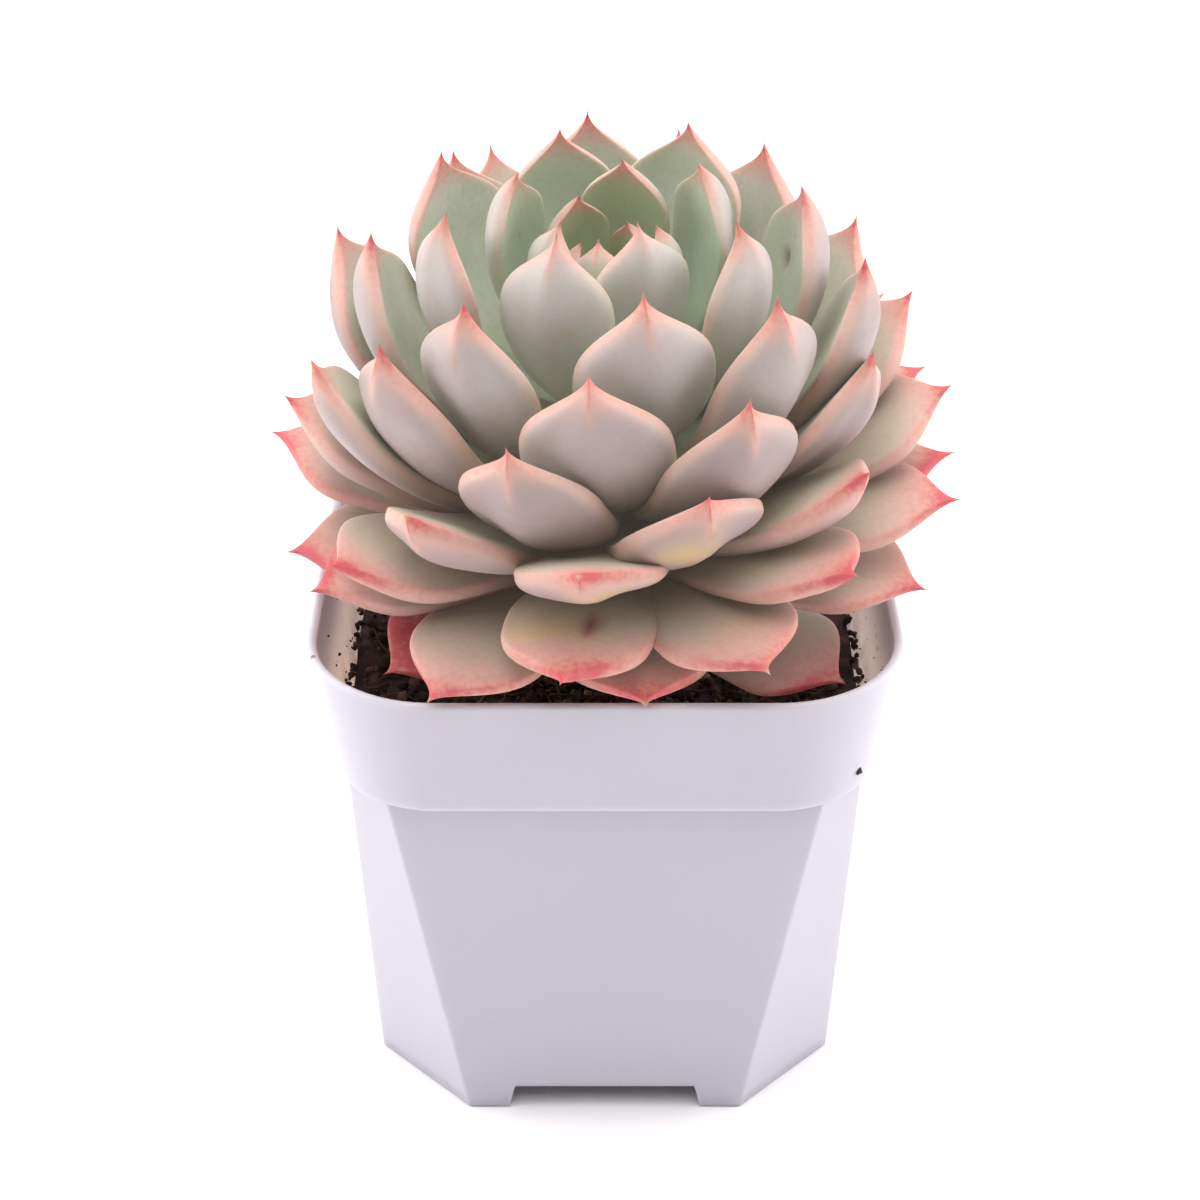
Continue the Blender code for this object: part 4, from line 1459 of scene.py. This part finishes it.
    def stuck_crumbs(self) -> Surface:
        """Crumbs against the inner wall: a ragged line of clumps at the bed, and finer ones above.

        Returns:
            All of them as one surface.
        """
        rng = np.random.default_rng(41)
        f = self.pot
        count = self.wall_crumbs
        clump = rng.uniform(0, 1, count) < 0.85
        near_bed = 0.0024 * rng.uniform(0, 1, count) ** 1.6
        up_wall = 0.0105 * rng.uniform(0, 1, count) ** 1.5
        high = np.where(clump, near_bed, up_wall)
        z = self.top_z + 0.0008 + high
        sizes = np.where(clump, 0.00045 * (1.2 - high / 0.0024), 0.00010)
        sizes = sizes + 0.00030 * rng.uniform(0, 1, count) ** 3
        sizes = np.clip(sizes, 0.0001, None) * np.where(clump, 1.0, 0.6)
        ring = f.collar_ring(z, f.wall + 0.0001 + 0.5 * sizes)
        corner = np.min(np.abs(ring), axis=-1) > 0.017
        to_corner = rng.uniform(0, 1, count) < 0.7
        corner_pick = self._pick(corner, rng)
        pick = np.where(to_corner, corner_pick, rng.integers(0, ring.shape[1], count))
        flat = ring[np.arange(count), pick]
        flat = flat + rng.normal(0, 0.0005, flat.shape) * (np.abs(flat) < 0.029)
        return self._scatter(np.column_stack([flat, z]) + self.centre, sizes, 42)

    @staticmethod
    def _pick(allowed: Array, rng: np.random.Generator) -> Array:
        """A random allowed column for each row."""
        return np.argmax(rng.uniform(0, 1, allowed.shape) * allowed, axis=1)

    def loose_fibres(self) -> Surface:
        """Thin bent fibres: tapered tubes of five sides along curves that turn as they run.

        Returns:
            All of them as one surface with their tones.
        """
        rng = np.random.default_rng(51)
        count, rows, columns = self.fibres, 7, 5
        start = rng.uniform(-0.028, 0.028, (count, 2))
        keep = np.linalg.norm(np.clip(np.abs(start) - 0.018, 0, None), axis=1) < 0.010
        start = start[keep]
        count = len(start)
        heading = rng.uniform(0, 2 * np.pi, count)
        run = rng.uniform(0.002, 0.0075, count)
        curl = rng.uniform(-0.9, 0.9, count)
        t = np.linspace(0, 1, rows)
        angle = heading[:, None] + curl[:, None] * t
        towards = np.stack([np.cos(angle), np.sin(angle)], -1)
        flat = start[:, None] + towards * (t * run[:, None])[..., None]
        flat = np.clip(flat, -0.0295, 0.0295)
        z = self.bed_height(flat.reshape(-1, 2)).reshape(count, rows)
        z = z.mean(axis=1)[:, None] * 0.6 + z * 0.4 + 0.0004
        z = z + rng.uniform(0, 0.0022, count)[:, None] * t ** 2
        radius = rng.uniform(0.00008, 0.00024, count)[:, None] * (1 - 0.6 * t)[None]
        around = np.arange(columns) / columns * 2 * np.pi
        sideways = np.stack([-np.sin(angle), np.cos(angle)], -1)
        offset = radius[..., None] * np.cos(around)
        tube = np.concatenate([
            flat[:, :, None, :] + offset[..., None] * sideways[:, :, None, :],
            (z[..., None] + radius[..., None] * np.sin(around))[..., None],
        ], axis=-1)
        poles = np.concatenate([flat[:, [0, -1]], z[:, [0, -1], None]], axis=-1)
        each = np.concatenate([tube.reshape(count, -1, 3), poles], axis=1)
        quads, triangles = closed_grid_faces(rows, columns)
        size = rows * columns + 2
        shift = (size * np.arange(count))[:, None, None]
        tone = np.repeat(rng.uniform(0.2, 1.0, count), size)
        return Surface(each.reshape(-1, 3) + self.centre, (quads[None] + shift).reshape(-1, 4),
                       (triangles[None] + shift).reshape(-1, 3), {"tone": tone}).face_outwards()

    def build(self, effects: SharedEffects) -> None:
        """Make the bed and what lies on it.

        Args:
            effects: The shared node groups.
        """
        earth = EarthFinish("potting_mix_bed").build(effects)
        bark = EarthFinish("bark_and_fibre", dark=self.bark_dark, light=self.bark_light).build(effects)
        hand_over(self.bed().to_object("mix_bed", earth), ["soil"])
        loose = {
            "mix_crumbs": self.loose_crumbs(),
            "wall_crumbs": self.stuck_crumbs(),
            "mix_fibres": self.loose_fibres(),
        }
        for name, surface in loose.items():
            hand_over(surface.to_object(name, bark), ["soil"])


# --------------------------------------------------------------------------- studio

@dataclass(frozen=True)
class SoftLight:
    """A square light that faces the rosette, with its place and size in metres and power in watts."""

    name: str
    place: tuple[float, float, float]
    size: float
    power: float


@dataclass
class Studio:
    """White floor, bright light from behind, above and both sides, and the camera."""

    centre: Array
    floor_colour: Colour = (0.97, 0.95, 0.97)
    floor_half: float = 3.0
    floor_gap: float = 0.00005
    surround: Colour = (1.0, 0.985, 0.995)
    aim_z: float = 0.07
    lights: tuple[SoftLight, ...] = (
        SoftLight("left_light", (-0.55, 0.05, 0.22), 0.5, 2.3),
        SoftLight("right_light", (0.60, 0.05, 0.22), 0.5, 2.3),
        SoftLight("top_light", (0.0, 0.12, 0.75), 0.6, 2.6),
        SoftLight("front_light", (0.0, -0.30, 0.80), 0.6, 2.6),
    )
    lens: float = 75.0
    camera_x: float = -0.0006
    camera_y: float = -0.2677
    camera_z: float = 0.2193
    camera_down: float = 31.1

    def camera(self) -> None:
        """The camera looks down at the plant from the front."""
        data = bpy.data.cameras.new("camera")
        data.lens, data.sensor_width = self.lens, 36.0
        data.clip_start = 0.01
        made = bpy.data.objects.new("camera", data)
        x, y = self.camera_x + self.centre[0], self.camera_y + self.centre[1]
        made.location = (x, y, self.camera_z)
        made.rotation_euler = (math.radians(90.0 - self.camera_down), 0.0, 0.0)
        bpy.context.scene.collection.objects.link(made)
        bpy.context.scene.camera = made

    def floor(self) -> None:
        """A wide plain floor."""
        material, _, shader = new_material("studio_floor")
        shader.inputs["Base Color"].default_value = (*self.floor_colour, 1.0)
        shader.inputs["Roughness"].default_value = 0.9
        shader.inputs["Specular IOR Level"].default_value = 0.1
        mesh = bpy.data.meshes.new("floor")
        reach = self.floor_half
        corners = [(-reach, -reach, 0), (reach, -reach, 0), (reach, reach, 0), (-reach, reach, 0)]
        mesh.from_pydata(corners, [], [(0, 1, 2, 3)])
        mesh.materials.append(material)
        made = bpy.data.objects.new("floor", mesh)
        made.location = (0, 0, -self.floor_gap)
        bpy.context.scene.collection.objects.link(made)

    def world(self) -> None:
        """A white surround, dimmer in front, so that the pot's front falls into soft shade."""
        world = bpy.data.worlds.new("surround")
        world.use_nodes = True
        bench = NodeBench(world.node_tree)
        background = world.node_tree.nodes["Background"]
        output = world.node_tree.nodes["World Output"]
        parts = bench.add("ShaderNodeSeparateXYZ")
        bench.join(bench.add("ShaderNodeTexCoord").outputs["Generated"], parts.inputs[0])
        glow = bench.ramp(parts.outputs["Y"], -0.75, 0.45, 0.10, 1.00)
        overhead = bench.add("ShaderNodeMath", operation="ADD")
        bench.join(glow, overhead.inputs[0])
        bench.join(bench.ramp(parts.outputs["Z"], 0.45, 1.0, 0.0, 0.60), overhead.inputs[1])
        bench.join(overhead.outputs[0], background.inputs["Strength"])
        background.inputs["Color"].default_value = (*self.surround, 1.0)
        seen = bench.add("ShaderNodeBackground")
        seen.inputs["Strength"].default_value = 1.0
        seen.inputs["Color"].default_value = (1.0, 1.0, 1.0, 1.0)
        pick = bench.add("ShaderNodeMixShader")
        bench.join(bench.add("ShaderNodeLightPath").outputs["Is Camera Ray"], pick.inputs[0])
        bench.join(background.outputs[0], pick.inputs[1])
        bench.join(seen.outputs[0], pick.inputs[2])
        bench.join(pick.outputs[0], output.inputs["Surface"])
        bpy.context.scene.world = world

    def light(self, soft: SoftLight) -> None:
        """Place one soft light and aim it at the rosette.

        Args:
            soft: The light.
        """
        data = bpy.data.lights.new(soft.name, "AREA")
        data.size, data.energy = soft.size, soft.power
        made = bpy.data.objects.new(soft.name, data)
        made.location = soft.place
        aim = np.array([0.0, 0.0, self.aim_z]) - np.array(soft.place)
        tilt = math.atan2(math.hypot(aim[0], aim[1]), -aim[2])
        made.rotation_euler = (tilt, 0.0, math.atan2(aim[1], aim[0]) - math.pi / 2)
        bpy.context.scene.collection.objects.link(made)

    def build(self) -> None:
        """Set up the whole studio."""
        self.camera()
        self.floor()
        self.world()
        for soft in self.lights:
            self.light(soft)
        view = bpy.context.scene.view_settings
        view.view_transform, view.look = "Standard", "None"


def main() -> None:
    """Build every sub-assembly in order."""
    logging.basicConfig(level=logging.INFO, format="%(name)s %(message)s")
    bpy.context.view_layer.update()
    low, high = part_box("pot")
    centre = np.array([(low.x + high.x) / 2, (low.y + high.y) / 2, 0.0])
    effects = SharedEffects()
    Pot(centre).build(effects)
    PottingMix(centre).build(effects)
    Stem(centre).build(effects)
    Rosette(centre).build(effects)
    Studio(centre).build()


if __name__ == "__main__":
    main()
